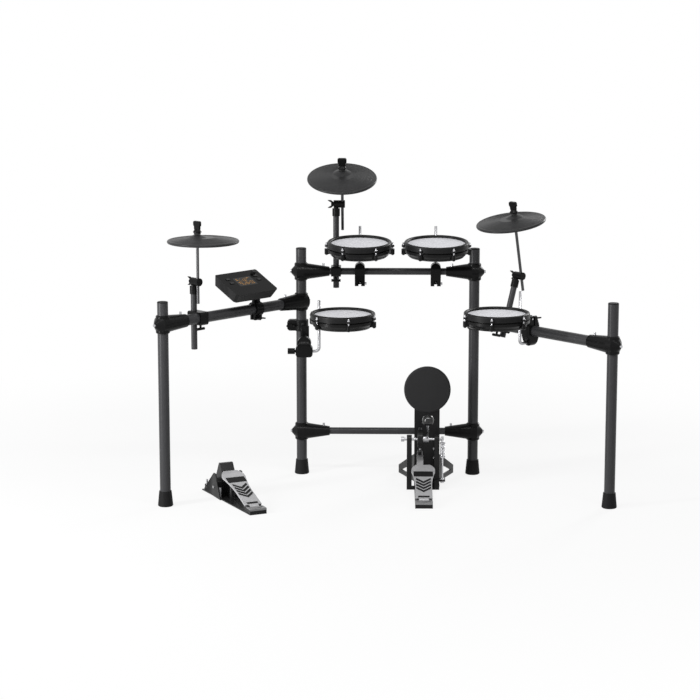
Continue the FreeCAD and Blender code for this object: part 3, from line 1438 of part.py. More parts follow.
def chain():
    """Two strands that hang from the far side of the cam and wrap over its top."""
    wrap_r = chain_y - axle_back
    step = 2 * math.degrees(math.asin(chain_pitch / (2 * wrap_r)))
    links = []
    for strand in (cam_shift - chain_strand, cam_shift + chain_strand):
        for index in range(chain_straight_links):
            frame = shifted(strand, chain_y, axle_z - (index + 1) * chain_pitch)
            links.append(placed(chain_link(index % 2 == 1), frame))
        for index in range(chain_wrap_links):
            round_axle = Placement(Vector(strand, axle_back, axle_z), Rotation(X_AXIS, index * step))
            link = Placement(Vector(0, wrap_r, 0), Rotation(X_AXIS, step / 2))
            links.append(placed(chain_link(index % 2 == 0), round_axle.multiply(link)))
    return links


def biarc(start, start_way, end, end_way):
    """Two tangent arcs from one point and heading to another."""
    chord = end - start
    both = start_way + end_way
    bend = 2 * (1 - start_way.dot(end_way))
    along = chord.dot(both)
    reach = (math.sqrt(along * along + bend * chord.dot(chord)) - along) / bend
    meet = (start + start_way * reach + end - end_way * reach) * 0.5
    arcs = []
    for first, corner, last in ((start, start + start_way * reach, meet), (meet, end - end_way * reach, end)):
        middle = (first + last) * 0.5
        half = (last - first).Length / 2
        turn = math.acos(min(1, half / (corner - first).Length))
        crown = middle + (corner - middle).normalize() * (half * math.tan(turn / 2))
        arcs.append(Part.Arc(first, crown, last).toShape())
    return arcs


def helix_point(turn):
    angle = 2 * math.pi * turn
    return Vector(spring_r * math.cos(angle), spring_r * math.sin(angle), spring_pitch * turn)


def helix_way(turn):
    angle = 2 * math.pi * turn
    round_way = Vector(-math.sin(angle), math.cos(angle), 0) * (2 * math.pi * spring_r)
    return (round_way + Vector(0, 0, spring_pitch)).normalize()


def spring():
    """Close-wound extension spring: one wire, wound by quarter turns."""
    arcs = []
    for quarter in range(4 * spring_turns):
        a = quarter / 4
        b = (quarter + 1) / 4
        arcs += biarc(helix_point(a), helix_way(a), helix_point(b), helix_way(b))
    path = Part.Wire(arcs)
    wire = Part.Wire(Part.Circle(helix_point(0), helix_way(0), spring_wire_r).toShape())
    coil = path.makePipeShell([wire], True, False)
    turn_steps = 16
    near_steps = turn_steps * 3 // 4
    points = path.discretize(Number=turn_steps * spring_turns)
    apart = min((a - b).Length for i, a in enumerate(points) for b in points[i + near_steps:])
    gap = apart - 2 * spring_wire_r
    print("spring: least gap between its turns", round(gap, 2), "mm")
    return placed(coil, shifted(rocker_x, spring_y, spring_low))


def make_kick_pedal():
    node("kick_pedal_frame", *carried(pedal_frame(), kick_frame))
    board = joined(footboard(kick_board_l, kick_board_neck), chain_hook())
    node("kick_footboard", placed(board, kick_frame.multiply(raised)))
    node("kick_beater", *carried(beater(), kick_frame))
    node("kick_chain", *carried(chain(), kick_frame))
    node("kick_spring", placed(spring(), kick_frame))


hat_frame = Placement(Vector(hat_pedal_x, hat_pedal_y, 0), Rotation(Z_AXIS, hat_pedal_heading))


def hat_pedal_base():
    """Base plate with side cheeks, the sensor housing behind the toe, and the post under the board."""
    heel = board_heel_w / 2
    rear = hat_pedal_rear_w / 2
    plate = prism(outline(
        Vector(-heel, 0, 0), Vector(heel, 0, 0), Vector(rear, hat_pedal_l, 0), Vector(-rear, hat_pedal_l, 0)),
        Vector(0, 0, pedal_plate_t))
    foot_block, heel_top = heel_block()
    solids = list(foot_block)
    rise = math.cos(math.radians(board_rest))
    toe_y = pedal_hinge_back + hat_board_l * rise
    house_y = toe_y + hat_housing_gap
    house_end = house_y + hat_housing_l
    back = hat_pedal_l - hat_side_back
    for x in (-hat_side_gap - hat_side_t, hat_side_gap):
        cheek = prism(outline(
            Vector(x, house_y - hat_side_front, 0), Vector(x, back, 0), Vector(x, back, hat_side_low),
            Vector(x, house_y + hat_side_crest, hat_side_high), Vector(x, house_y, hat_side_high)),
            Vector(hat_side_t, 0, 0))
        solids.append(cheek)
    side = hat_housing_w / 2
    crest = house_y + hat_housing_rise
    housing = prism(outline(
        Vector(-side, house_y, 0), Vector(-side, house_y, hat_housing_front_h),
        Vector(-side, crest, hat_housing_h), Vector(-side, crest + hat_housing_crest, hat_housing_h),
        Vector(-side, house_end, hat_housing_back_h), Vector(-side, house_end, 0)),
        Vector(hat_housing_w, 0, 0))
    solids.append(housing)
    solids.append(block(Vector(-hat_side_gap, house_y, 0), Vector(hat_side_gap, house_end, hat_bridge_h)))
    stop_y = pedal_hinge_back + (hat_board_l - hat_stop_inset) * rise
    solids.append(cylinder(hat_stop_r, Vector(0, stop_y, 0), Vector(0, stop_y, hat_stop_h)))
    boss_y = hat_pedal_l - hat_stud_inset
    solids.append(cylinder(hat_boss_r, Vector(hat_stud_x, boss_y, 0), Vector(hat_stud_x, boss_y, hat_boss_h)))
    base = joined(plate, solids)
    wide = hat_side_gap + hat_side_t
    base = base.cut(cylinder(hinge_pin_r + fit, Vector(-wide, pedal_hinge_back, hinge_z),
                             Vector(wide, pedal_hinge_back, hinge_z)))
    stud_low = Vector(hat_stud_x, boss_y, hat_boss_h - hat_boss_r)
    stud_top = stud_low + Vector(0, 0, hat_stud_h)
    base = base.cut(cylinder(hat_stud_r + fit, stud_low, stud_top))
    post_foot = Vector(hat_post_x, house_y - hat_post_inset, pedal_plate_t)
    pins = heel_top + [cylinder(hat_stud_r, stud_low, stud_top),
                       cylinder(hat_post_r, post_foot, post_foot + Vector(0, 0, hat_post_h))]
    for x, way in ((-wide, -1), (wide, 1)):
        seat = Vector(x, house_y + hat_side_crest, hat_screw_z)
        pins.append(cylinder(hat_screw_r, seat, seat + Vector(way * hat_screw_t, 0, 0)))
    return [base] + pins


def make_hi_hat_pedal():
    node("hi_hat_pedal_base", *carried(hat_pedal_base(), hat_frame))
    board = footboard(hat_board_l, 0)
    node("hi_hat_footboard", placed(board, hat_frame.multiply(raised)))


make_rear_frame()
make_wing("left", left_post, left_out, left_wing_z)
make_wing("right", right_post, right_out, right_wing_z)
make_tom("left_tom", left_tom_x)
make_tom("right_tom", right_tom_x)
make_snare()
make_floor_tom()
make_hi_hat()
make_crash_and_ride()
make_module()
make_kick_tower()
make_kick_pedal()
make_hi_hat_pedal()

# The origin goes to the floor under the middle of the footprint.
whole_kit = Part.makeCompound([solid for solids in nodes.values() for solid in solids])
footprint = whole_kit.optimalBoundingBox(True, False)
centre_shift = shifted(-footprint.Center.x, -footprint.Center.y, 0)
os.makedirs("parts", exist_ok=True)
for name, solids in nodes.items():
    Part.makeCompound(carried(solids, centre_shift)).exportStep("parts/" + name + ".step")
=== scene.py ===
import json
import math

import bmesh
import bpy
from mathutils import Matrix, Vector


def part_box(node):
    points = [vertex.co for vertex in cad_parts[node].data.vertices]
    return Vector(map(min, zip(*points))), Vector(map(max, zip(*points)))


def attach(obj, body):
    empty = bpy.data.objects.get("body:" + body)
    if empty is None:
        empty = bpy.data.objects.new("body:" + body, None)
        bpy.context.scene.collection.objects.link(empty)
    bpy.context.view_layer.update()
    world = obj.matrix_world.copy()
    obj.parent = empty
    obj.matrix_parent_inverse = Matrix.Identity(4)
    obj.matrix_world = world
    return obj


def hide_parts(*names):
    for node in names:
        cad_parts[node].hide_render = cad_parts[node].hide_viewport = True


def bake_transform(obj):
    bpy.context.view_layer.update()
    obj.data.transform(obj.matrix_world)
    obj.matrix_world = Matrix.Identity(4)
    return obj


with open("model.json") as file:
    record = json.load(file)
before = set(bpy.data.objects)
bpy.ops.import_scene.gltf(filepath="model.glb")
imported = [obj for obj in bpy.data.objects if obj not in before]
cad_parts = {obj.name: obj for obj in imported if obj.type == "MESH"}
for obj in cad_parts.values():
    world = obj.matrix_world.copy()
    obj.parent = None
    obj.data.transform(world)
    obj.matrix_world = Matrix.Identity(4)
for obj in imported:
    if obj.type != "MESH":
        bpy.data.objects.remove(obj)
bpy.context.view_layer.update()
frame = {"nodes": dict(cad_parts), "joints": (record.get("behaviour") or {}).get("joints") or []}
nodes = frame["nodes"]
joints = {joint["name"]: joint for joint in frame["joints"]}
scene = bpy.context.scene


# Rack tubes. Posts and bars are drawn steel tube with a satin charcoal powder coat, cut square
# and held by the clamps alone. The coat is even, with a very fine grain and slight clouding.
class Wire:
    """One socket of a finish. Arithmetic on wires adds Math nodes to its tree."""

    def __init__(self, socket):
        self.socket = socket

    def node(self, kind, settings, values, out=0):
        """New node: its settings are set first, then each socket gets a number, a colour or a wire."""
        tree = self.socket.id_data
        new = tree.nodes.new("ShaderNode" + kind)
        for name, value in settings.items():
            setattr(new, name, value)
        for name, value in values.items():
            if isinstance(value, Wire):
                tree.links.new(value.socket, new.inputs[name])
            else:
                new.inputs[name].default_value = value
        return Wire(new.outputs[out])

    def math(self, operation, first, second=0.0):
        return self.node("Math", {"operation": operation}, {0: first, 1: second})

    def __add__(self, other):
        return self.math("ADD", self, other)

    def __sub__(self, other):
        return self.math("SUBTRACT", self, other)

    def __rsub__(self, other):
        return self.math("SUBTRACT", other, self)

    def __mul__(self, other):
        return self.math("MULTIPLY", self, other)

    def __lt__(self, other):
        return self.math("LESS_THAN", self, other)

    def __gt__(self, other):
        return self.math("GREATER_THAN", self, other)

    __radd__ = __add__
    __rmul__ = __mul__

    def sine(self):
        return self.math("SINE", self)


def grey(tone, blue=1.03):
    return (tone, tone, tone * blue, 1.0)


def surface(name, constants):
    """New material with its shader, and a wire with the piece's own place in metres."""
    material = bpy.data.materials.new(name)
    material.use_nodes = True
    shader = material.node_tree.nodes["Principled BSDF"]
    for socket, value in constants.items():
        shader.inputs[socket].default_value = value
    place = material.node_tree.nodes.new("ShaderNodeTexCoord").outputs["Object"]
    return material, shader, Wire(place)


def feed(shader, wires):
    for socket, wire in wires.items():
        shader.id_data.links.new(wire.socket, shader.inputs[socket])


def tinted(mask, low, high):
    """Colour that runs from one tone to another with a mask."""
    return mask.node("Mix", {"data_type": "RGBA"}, {0: mask, 6: low, 7: high}, 2)


def raised(height, relief):
    return height.node("Bump", {}, {"Strength": 1.0, "Distance": relief, "Height": height})


cloud_scale = 16.0
cloud_detail = 4.0
grain_detail = 2.0


def noise(place, scale, detail):
    return place.node("TexNoise", {}, {"Vector": place, "Scale": scale, "Detail": detail})


def grained(name, low, high, rough, spread, pitch, relief, constants):
    """Finish with two close tones in soft clouds, and a fine grain.
    The grain's pitch and relief are in metres; clouds and grain vary the roughness by the spread."""
    material, shader, place = surface(name, constants)
    cloud = noise(place, cloud_scale, cloud_detail)
    grain = noise(place, 1 / pitch, grain_detail)
    feed(shader, {
        "Base Color": tinted(cloud, low, high),
        "Roughness": (cloud + grain - 1) * spread + rough,
        "Normal": raised(grain, relief)})
    return material


def paint(material, *names):
    """Gives CAD nodes a finish in their objects' slots."""
    for name in names:
        for slot in nodes[name].material_slots:
            slot.link = "OBJECT"
            slot.material = material


coat_blue = 1.06
charcoal = grained(
    "charcoal_powder_coat", grey(0.03, coat_blue), grey(0.038, coat_blue), rough=0.32, spread=0.08,
    pitch=0.0009, relief=0.00001, constants={"Specular IOR Level": 0.22})
paint(charcoal, "inner_posts", "rear_bars", "left_wing_bar", "right_wing_bar",
      "left_outer_post", "right_outer_post")


# T-clamps. Each is a two-shell moulding in black glass-filled nylon, drawn tight on post and bar
# by two plated socket bolts, with the slightly dry sheen of a textured mould.
nylon = grained(
    "black_moulded_nylon", grey(0.004), grey(0.006), rough=0.28, spread=0.1,
    pitch=0.0007, relief=0.00003, constants={"Specular IOR Level": 0.1})
paint(nylon, "rear_clamps", "left_wing_clamps", "right_wing_clamps")
chrome = grained(
    "chrome_plate", grey(0.46), grey(0.56), rough=0.2, spread=0.1,
    pitch=0.002, relief=0.000004, constants={"Metallic": 1.0})
paint(chrome, "rear_clamp_bolts", "left_wing_bolts", "right_wing_bolts")


# Post ends. A soft rubber boot stands each post on the floor and a moulded plug closes its top.
# Both are matt black, a little dusty in the low spots.
rubber = grained(
    "matt_black_rubber", grey(0.006), grey(0.011), rough=0.6, spread=0.14,
    pitch=0.0012, relief=0.00004, constants={"Specular IOR Level": 0.1})
paint(rubber, "inner_post_ends", "left_outer_post_ends", "right_outer_post_ends")


# Mesh pads. A black shell carries a woven two-ply head under a rubber-clad hoop, pulled down by
# six plated tension bolts. The head is a stretched sheet with a flesh ring at its edge.
def piece(name, mesh, material, body=None, smooth=35.0):
    """Edges that turn more than the smooth angle, in degrees, stay sharp."""
    mesh.name = name
    if material is not None:
        mesh.materials.clear()
        mesh.materials.append(material)
    for polygon in mesh.polygons:
        polygon.use_smooth = True
    mesh.set_sharp_from_angle(angle=math.radians(smooth))
    made = bpy.data.objects.new(name, mesh)
    scene.collection.objects.link(made)
    if body is not None:
        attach(made, body)
    return made


def lathe(profile, steps):
    """Closed mesh of a (radius, height) profile turned about Z.
    Its UV map holds flat coordinates in metres."""
    shape = bmesh.new()
    rings = []
    for radius, height in profile:
        count = steps if radius else 1
        turns = [2 * math.pi * step / count for step in range(count)]
        rings.append([shape.verts.new((radius * math.cos(turn), radius * math.sin(turn), height))
                      for turn in turns])
    for lower, upper in zip(rings, rings[1:] + rings[:1]):
        if len(lower) == len(upper) == 1:
            continue
        for step in range(steps):
            after = (step + 1) % steps
            corners = [lower[step % len(lower)], lower[after % len(lower)],
                       upper[after % len(upper)], upper[step % len(upper)]]
            shape.faces.new(list(dict.fromkeys(corners)))
    bmesh.ops.recalc_face_normals(shape, faces=shape.faces)
    flat = shape.loops.layers.uv.new("flat")
    for face in shape.faces:
        for loop in face.loops:
            loop[flat].uv = loop.vert.co.xy
    mesh = bpy.data.meshes.new("turned")
    shape.to_mesh(mesh)
    return mesh


weave_pitch = 0.0011
weave_relief = 0.00012
weave_share = 0.7
mesh_cloud_share = 0.3
mesh_shade = (0.6, 0.6, 0.63, 1)
mesh_light = (0.82, 0.82, 0.86, 1)
mesh_white, mesh_shader, mesh_place = surface(
    "woven_white_mesh", {"Sheen Weight": 0.1, "Specular IOR Level": 0.3})
mesh_flat = mesh_place.node("UVMap", {"uv_map": "flat"}, {})
mesh_axes = [mesh_flat.node("SeparateXYZ", {}, {"Vector": mesh_flat}, axis) for axis in (0, 1)]
threads = [(axis * (2 * math.pi / weave_pitch)).sine() for axis in mesh_axes]
weave = threads[0] * threads[1] * 0.5 + 0.5
mesh_cloud = noise(mesh_flat, scale=18.0, detail=3.0)
feed(mesh_shader, {
    "Base Color": tinted(weave * weave_share + mesh_cloud * mesh_cloud_share, mesh_shade, mesh_light),
    "Roughness": mesh_cloud * 0.15 + 0.5,
    "Normal": raised(weave, weave_relief)})

head_r = 0.1103
head_middle_r = 0.06
head_round = 0.001
head_steps = 128
flesh_in_r = 0.1067
head_top = 0.00425
head_sheet = 0.0012
flesh_drop = 0.0083
head_profile = [
    (0, head_top), (head_middle_r, head_top), (head_r - head_round, head_top),
    (head_r, head_top - head_round), (head_r, head_top - flesh_drop),
    (flesh_in_r, head_top - flesh_drop), (flesh_in_r, head_top - head_sheet),
    (head_middle_r, head_top - head_sheet), (0, head_top - head_sheet)]
pad_headings = {"left_tom": 0.0, "right_tom": 0.0, "snare": 41.0, "floor_tom": -41.05}
shell_black = grained(
    "black_shell_plastic", grey(0.004), grey(0.007), rough=0.28, spread=0.1,
    pitch=0.0008, relief=0.00002, constants={"Specular IOR Level": 0.12})
hoop_black = grained(
    "soft_black_hoop", grey(0.007), grey(0.01), rough=0.4, spread=0.12,
    pitch=0.0011, relief=0.00003, constants={"Specular IOR Level": 0.12})


def pad_frame(pad, heading):
    """Frame at the middle of a pad's head, its Z out of the head."""
    low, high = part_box(pad + "_head")
    up = Vector(joints[pad + "_height"]["axis"])
    lean = Vector((0, 0, 1)).rotation_difference(up).to_matrix().to_4x4()
    return Matrix.Translation((low + high) / 2) @ lean @ Matrix.Rotation(math.radians(heading), 4, "Z")


for pad, heading in pad_headings.items():
    sheet = lathe(head_profile, head_steps)
    sheet.transform(pad_frame(pad, heading))
    head = piece(pad + "_mesh", sheet, mesh_white, pad + "_pad")
    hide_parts(pad + "_head")
    paint(shell_black, pad + "_shell")
    paint(hoop_black, pad + "_hoop")
    paint(chrome, pad + "_bolts")


# Pad arms. A satin steel rod is bent to an L and gripped by a hinged nylon clamp, whose swing
# bolt is plated and whose wing nut is moulded. The snare's clamp holds a post with a rosette.
merge_reach = 1e-6


def dressed(node, finishes, body, smooth=20.0):
    """Copy of a CAD node whose solids, from the longest to the shortest, have their own finishes.
    The last finish serves the rest, and a solid whose finish is None is left to another piece.
    Where two solids touch along an edge, four faces meet there, and the search stops."""
    shape = bmesh.new()
    shape.from_mesh(nodes[node].data)
    bmesh.ops.remove_doubles(shape, verts=shape.verts, dist=merge_reach)
    waiting = dict.fromkeys(shape.faces)
    solids = []
    while waiting:
        solid = [waiting.popitem()[0]]
        for face in solid:
            for edge in face.edges:
                if len(edge.link_faces) > 2:
                    continue
                for other in edge.link_faces:
                    if other in waiting:
                        del waiting[other]
                        solid.append(other)
        places = [corner.co for face in solid for corner in face.verts]
        reach = [max(place[axis] for place in places) - min(place[axis] for place in places)
                 for axis in range(3)]
        solids.append((Vector(reach).length, solid))
    solids.sort(key=lambda entry: -entry[0])
    left_out = []
    for rank, (_, solid) in enumerate(solids):
        index = min(rank, len(finishes) - 1)
        if finishes[index] is None:
            left_out += solid
        for face in solid:
            face.material_index = index
    bmesh.ops.delete(shape, geom=left_out, context="FACES")
    mesh = bpy.data.meshes.new(node)
    shape.to_mesh(mesh)
    for finish in finishes:
        mesh.materials.append(finish)
    made = piece(node + "_dressed", mesh, None, body, smooth)
    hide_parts(node)
    return made


steel = grained(
    "satin_steel_rod", grey(0.36), grey(0.44), rough=0.3, spread=0.12,
    pitch=0.0006, relief=0.000006, constants={"Metallic": 1.0})
for pad in ("left_tom", "right_tom", "floor_tom"):
    dressed(pad + "_arm", [steel, nylon, chrome, nylon], pad + "_arm")
dressed("snare_arm", [steel, nylon, nylon, nylon, nylon, chrome], "snare_arm")


# Cymbal stands and rods. A charcoal tube stands in a nylon block on the bar, locked by a T-screw,
# and ends in a toothed tilter. The cymbal rod is blackened steel with a felt and a moulded topper.
gunmetal = grained(
    "blackened_steel", grey(0.06), grey(0.085), rough=0.3, spread=0.12,
    pitch=0.0007, relief=0.00001, constants={"Metallic": 0.7})
felt = grained(
    "black_felt", grey(0.01), grey(0.018), rough=0.9, spread=0.08,
    pitch=0.0008, relief=0.0002, constants={"Sheen Weight": 0.2})
felt_steps = 40
felt_ring = [(0.0043, 0.0118), (0.0108, 0.0125), (0.0117, 0.0129), (0.0122, 0.0141), (0.0124, 0.016),
             (0.0122, 0.0178), (0.0117, 0.019), (0.0108, 0.0194), (0.0043, 0.01942)]
rod_finishes = {
    "hi_hat": [gunmetal, nylon, rubber, None, nylon],
    "crash": [gunmetal, nylon, nylon, rubber, nylon, None, nylon],
    "ride": [gunmetal, nylon, nylon, nylon, rubber, None, nylon]}
cymbal_frames = {}
for cymbal, stand_body in (("hi_hat", "left_wing"), ("crash", "rack"), ("ride", "right_wing")):
    dressed(cymbal + "_stand", [charcoal, nylon], stand_body)
    dressed(cymbal + "_rod", rod_finishes[cymbal], cymbal + "_rod")
    seat = Vector(joints[cymbal + "_rock"]["pos_m"])
    along = Vector(joints[cymbal + "_rock"]["axis"])
    up = Vector((0, 0, 1))
    if cymbal != "hi_hat":
        rise = seat - Vector(joints[cymbal + "_tilt"]["pos_m"])
        up = (rise - along * rise.dot(along)).normalized()
    turned = Matrix((along, up.cross(along), up)).transposed()
    cymbal_frames[cymbal] = Matrix.Translation(seat) @ turned.to_4x4()
    cushion = lathe(felt_ring, felt_steps)
    cushion.transform(cymbal_frames[cymbal])
    pressed = piece(cymbal + "_felt", cushion, felt, cymbal + "_rod")
    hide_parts(cymbal + "_rod")


# Cymbal pads. Dark rubber is moulded over a stiff plate, with fine turned rings over the bow and
# a smoother bell and lip, hung off centre on the rod. The colour holds painted shade in the ring
# troughs.
bell_shift = 0.02
bow_from_r = 0.04
bow_to_r = 0.117
fine_ring_pitch = 0.0032
fine_ring_relief = 0.00022
rubber_grain_scale = 900.0
rubber_cloud_scale = 22.0


def cymbal_finish(name, centre, turn):
    """Rubber with rings about the middle of one cymbal, with painted shade in the ring troughs."""
    material, shader, place = surface(name, {"Specular IOR Level": 0.15})
    flat = place.node("Mapping", {"vector_type": "TEXTURE"},
                      {"Vector": place, "Location": centre, "Rotation": turn})
    plane = flat.node("VectorMath", {"operation": "MULTIPLY"}, {0: flat, 1: (1.0, 1.0, 0.0)})
    radius = plane.node("VectorMath", {"operation": "LENGTH"}, {0: plane}, 1)
    bow = (radius > bow_from_r) * (radius < bow_to_r)
    ring_relief_and_shade = (radius * (2 * math.pi / fine_ring_pitch)).sine() * bow
    cloud = noise(place, rubber_cloud_scale, cloud_detail)
    grain = noise(place, rubber_grain_scale, grain_detail)
    feed(shader, {
        # The ring wave also tints the colour: painted shade darkens each groove trough and lightens
        # each crest.
        "Base Color": tinted(cloud * 0.6 + ring_relief_and_shade * 0.2 + 0.2, grey(0.016), grey(0.03)),
        "Roughness": cloud * 0.1 + bow * 0.04 + 0.3,
        "Normal": raised(ring_relief_and_shade * 0.5 + grain * 0.15, fine_ring_relief)})
    return material


def tree_of(name, inputs):
    """New geometry tree with named inputs, and its group input and output."""
    tree = bpy.data.node_groups.new(name, "GeometryNodeTree")
    for label, kind in inputs.items():
        tree.interface.new_socket(label, in_out="INPUT", socket_type=kind)
    tree.interface.new_socket("Geometry", in_out="OUTPUT", socket_type="NodeSocketGeometry")
    return tree, tree.nodes.new("NodeGroupInput"), tree.nodes.new("NodeGroupOutput")


def linked(tree, kind, settings, values):
    """Node of a geometry tree whose sockets get values or other nodes' sockets."""
    new = tree.nodes.new(kind)
    for name, value in settings.items():
        setattr(new, name, value)
    for name, value in values.items():
        if isinstance(value, bpy.types.NodeSocket):
            tree.links.new(value, new.inputs[name])
        else:
            new.inputs[name].default_value = value
    return new


def grown(tree, values):
    """Plain mesh of a tree run on an empty object with those inputs."""
    holder = bpy.data.objects.new("holder", bpy.data.meshes.new("holder"))
    scene.collection.objects.link(holder)
    growth = holder.modifiers.new("growth", "NODES")
    growth.node_group = tree
    for item in tree.interface.items_tree:
        if item.in_out == "INPUT":
            growth[item.identifier] = values[item.name]
    view = bpy.context.evaluated_depsgraph_get()
    mesh = bpy.data.meshes.new_from_object(holder.evaluated_get(view))
    bpy.data.objects.remove(holder)
    return mesh


bow_points = ((0.033, 0.002), (0.076, -0.0005), (0.119, -0.008))
ridge_count = 15
ridge_first = 0.044
ridge_pitch = 0.005
ridge_foot = 0.0028
ridge_crest = 0.0011
ridge_high = 0.0005
ridge_sunk = 0.00025
ridge_smooth = 60.0
circle_steps = 96
rings, rings_in, rings_out = tree_of("cymbal_ridges", {
    "Count": "NodeSocketInt", "First": "NodeSocketFloat", "Pitch": "NodeSocketFloat",
    "Foot": "NodeSocketFloat", "Crest": "NodeSocketFloat", "Height": "NodeSocketFloat",
    "Curve": "NodeSocketFloat", "Slope": "NodeSocketFloat", "Rise": "NodeSocketFloat",
    "Finish": "NodeSocketMaterial"})
ring_in = rings_in.outputs
ring_number = linked(rings, "GeometryNodeInputIndex", {}, {})
ring_radius = linked(rings, "ShaderNodeMath", {"operation": "MULTIPLY_ADD"}, {
    0: ring_number.outputs["Index"], 1: ring_in["Pitch"], 2: ring_in["First"]}).outputs["Value"]
ring_scale = linked(rings, "ShaderNodeCombineXYZ", {}, {"X": ring_radius, "Y": ring_radius, "Z": 1.0})
middles = linked(rings, "GeometryNodeMeshLine", {"mode": "OFFSET"}, {
    "Count": ring_in["Count"], "Offset": (0, 0, 0)})
circle = linked(rings, "GeometryNodeCurvePrimitiveCircle", {}, {
    "Resolution": circle_steps, "Radius": 1.0})
circles = linked(rings, "GeometryNodeInstanceOnPoints", {}, {
    "Points": middles.outputs["Mesh"], "Instance": circle.outputs["Curve"],
    "Scale": ring_scale.outputs["Vector"]})
paths = linked(rings, "GeometryNodeRealizeInstances", {}, {"Geometry": circles.outputs["Instances"]})
section = linked(rings, "GeometryNodeCurvePrimitiveQuadrilateral", {"mode": "TRAPEZOID"}, {
    "Height": ring_in["Height"], "Bottom Width": ring_in["Crest"], "Top Width": ring_in["Foot"],
    "Offset": 0.0})
bands = linked(rings, "GeometryNodeCurveToMesh", {}, {
    "Curve": paths.outputs["Geometry"], "Profile Curve": section.outputs["Curve"]})
spot = linked(rings, "GeometryNodeInputPosition", {}, {})
plan = linked(rings, "ShaderNodeVectorMath", {"operation": "MULTIPLY"}, {
    0: spot.outputs["Position"], 1: (1.0, 1.0, 0.0)})
from_axis = linked(rings, "ShaderNodeVectorMath", {"operation": "LENGTH"}, {
    0: plan.outputs["Vector"]}).outputs["Value"]
fall = linked(rings, "ShaderNodeMath", {"operation": "MULTIPLY_ADD"}, {
    0: from_axis, 1: ring_in["Curve"], 2: ring_in["Slope"]})
lift = linked(rings, "ShaderNodeMath", {"operation": "MULTIPLY_ADD"}, {
    0: fall.outputs["Value"], 1: from_axis, 2: ring_in["Rise"]})
shift = linked(rings, "ShaderNodeCombineXYZ", {}, {"Z": lift.outputs["Value"]})
bowed = linked(rings, "GeometryNodeSetPosition", {}, {
    "Geometry": bands.outputs["Mesh"], "Offset": shift.outputs["Vector"]})
solid_rings = linked(rings, "GeometryNodeRealizeInstances", {}, {"Geometry": bowed.outputs["Geometry"]})
rubber_bands = linked(rings, "GeometryNodeSetMaterial", {}, {
    "Geometry": solid_rings.outputs["Geometry"], "Material": ring_in["Finish"]})
rings.links.new(rubber_bands.outputs["Geometry"], rings_out.inputs["Geometry"])
(inner_r, inner_z), (middle_r, middle_z), (outer_r, outer_z) = bow_points
inner_slope = (middle_z - inner_z) / (middle_r - inner_r)
outer_slope = (outer_z - middle_z) / (outer_r - middle_r)
bow_curve = (outer_slope - inner_slope) / (outer_r - inner_r)
bow_slope = inner_slope - bow_curve * (inner_r + middle_r)
bow_rise = inner_z - (bow_slope + bow_curve * inner_r) * inner_r
for cymbal, hung in cymbal_frames.items():
    middle = hung @ Matrix.Translation((0, -bell_shift, 0))
    rubber_rings = cymbal_finish(cymbal + "_rubber", middle.translation, hung.to_euler())
    paint(rubber_rings, cymbal + "_cymbal")
    mesh = grown(rings, {
        "Count": ridge_count, "First": ridge_first, "Pitch": ridge_pitch, "Foot": ridge_foot,
        "Crest": ridge_crest, "Height": ridge_high + ridge_sunk, "Curve": bow_curve, "Slope": bow_slope,
        "Rise": bow_rise + (ridge_high - ridge_sunk) / 2, "Finish": rubber_rings})
    mesh.transform(middle)
    made = piece(cymbal + "_ridges", mesh, None, cymbal + "_cymbal", ridge_smooth)


# Sound module. The case is a drafted charcoal moulding with a gloss black face, a lit display
# behind a dark window, moulded keys and a knob, on a clamp round the wing bar.
case_grey = grained(
    "module_case_plastic", grey(0.011), grey(0.016), rough=0.4, spread=0.1,
    pitch=0.0008, relief=0.00003, constants={"Specular IOR Level": 0.12})
gloss = grained(
    "module_gloss_face", grey(0.003), grey(0.005), rough=0.2, spread=0.06,
    pitch=0.003, relief=0.000003, constants={"Specular IOR Level": 0.06})
key_grey = grained(
    "module_key_plastic", grey(0.012), grey(0.018), rough=0.36, spread=0.1,
    pitch=0.0008, relief=0.00002, constants={"Specular IOR Level": 0.16})
glass = grained(
    "display_window", grey(0.004), grey(0.006), rough=0.1, spread=0.04,
    pitch=0.004, relief=0.000002, constants={"Specular IOR Level": 0.2})
case_finishes = [case_grey, glass, gloss]
case = dressed("module_case", case_finishes, "module", smooth=4.0)
keys_to_middle = 0.006
face_over_keys = 0.001
facing = 0.99
button_middles = []
for number in (1, 2, 3):
    low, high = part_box("module_button_%d" % number)
    button_middles.append((low + high) / 2)
module_up = Vector(joints["module_knob_turn"]["axis"])
module_right = (button_middles[2] - button_middles[0]).normalized()
module_back = module_up.cross(module_right)
keys_middle = (button_middles[0] + button_middles[2]) / 2
face_middle = keys_middle - module_back * keys_to_middle + module_up * face_over_keys
module_turn = Matrix((module_right, module_back, module_up)).transposed().to_4x4()
module_frame = Matrix.Translation(face_middle) @ module_turn
for polygon in case.data.polygons:
    if polygon.material_index == 0 and polygon.normal.dot(module_up) > facing:
        polygon.material_index = case_finishes.index(gloss)
paint(key_grey, "module_knob", "module_button_1", "module_button_2", "module_button_3",
      "module_button_4")
dressed("module_clamp", [nylon, nylon], "module")


# Display. Short bars of amber light in rows behind the window, like a level meter and menu lines,
# with no signs. Two fixed seeds set their lengths and which of them are lit.
length_seed = 7
lit_seed = 3
lit_share = 0.78
amber, amber_shader, amber_place = surface("amber_display_light", {
    "Roughness": 0.4, "Base Color": (0.1, 0.04, 0.005, 1), "Emission Strength": 0.5})
amber_noise = noise(amber_place, scale=160.0, detail=1.0)
feed(amber_shader, {"Emission Color": tinted(amber_noise, (0.42, 0.17, 0.01, 1), (0.9, 0.45, 0.04, 1))})
rows, rows_in, rows_out = tree_of("display_rows", {
    "Width": "NodeSocketFloat", "Depth": "NodeSocketFloat", "Columns": "NodeSocketInt",
    "Rows": "NodeSocketInt", "Bar": "NodeSocketVector", "Finish": "NodeSocketMaterial"})
grid = linked(rows, "GeometryNodeMeshGrid", {}, {
    "Size X": rows_in.outputs["Width"], "Size Y": rows_in.outputs["Depth"],
    "Vertices X": rows_in.outputs["Columns"], "Vertices Y": rows_in.outputs["Rows"]})
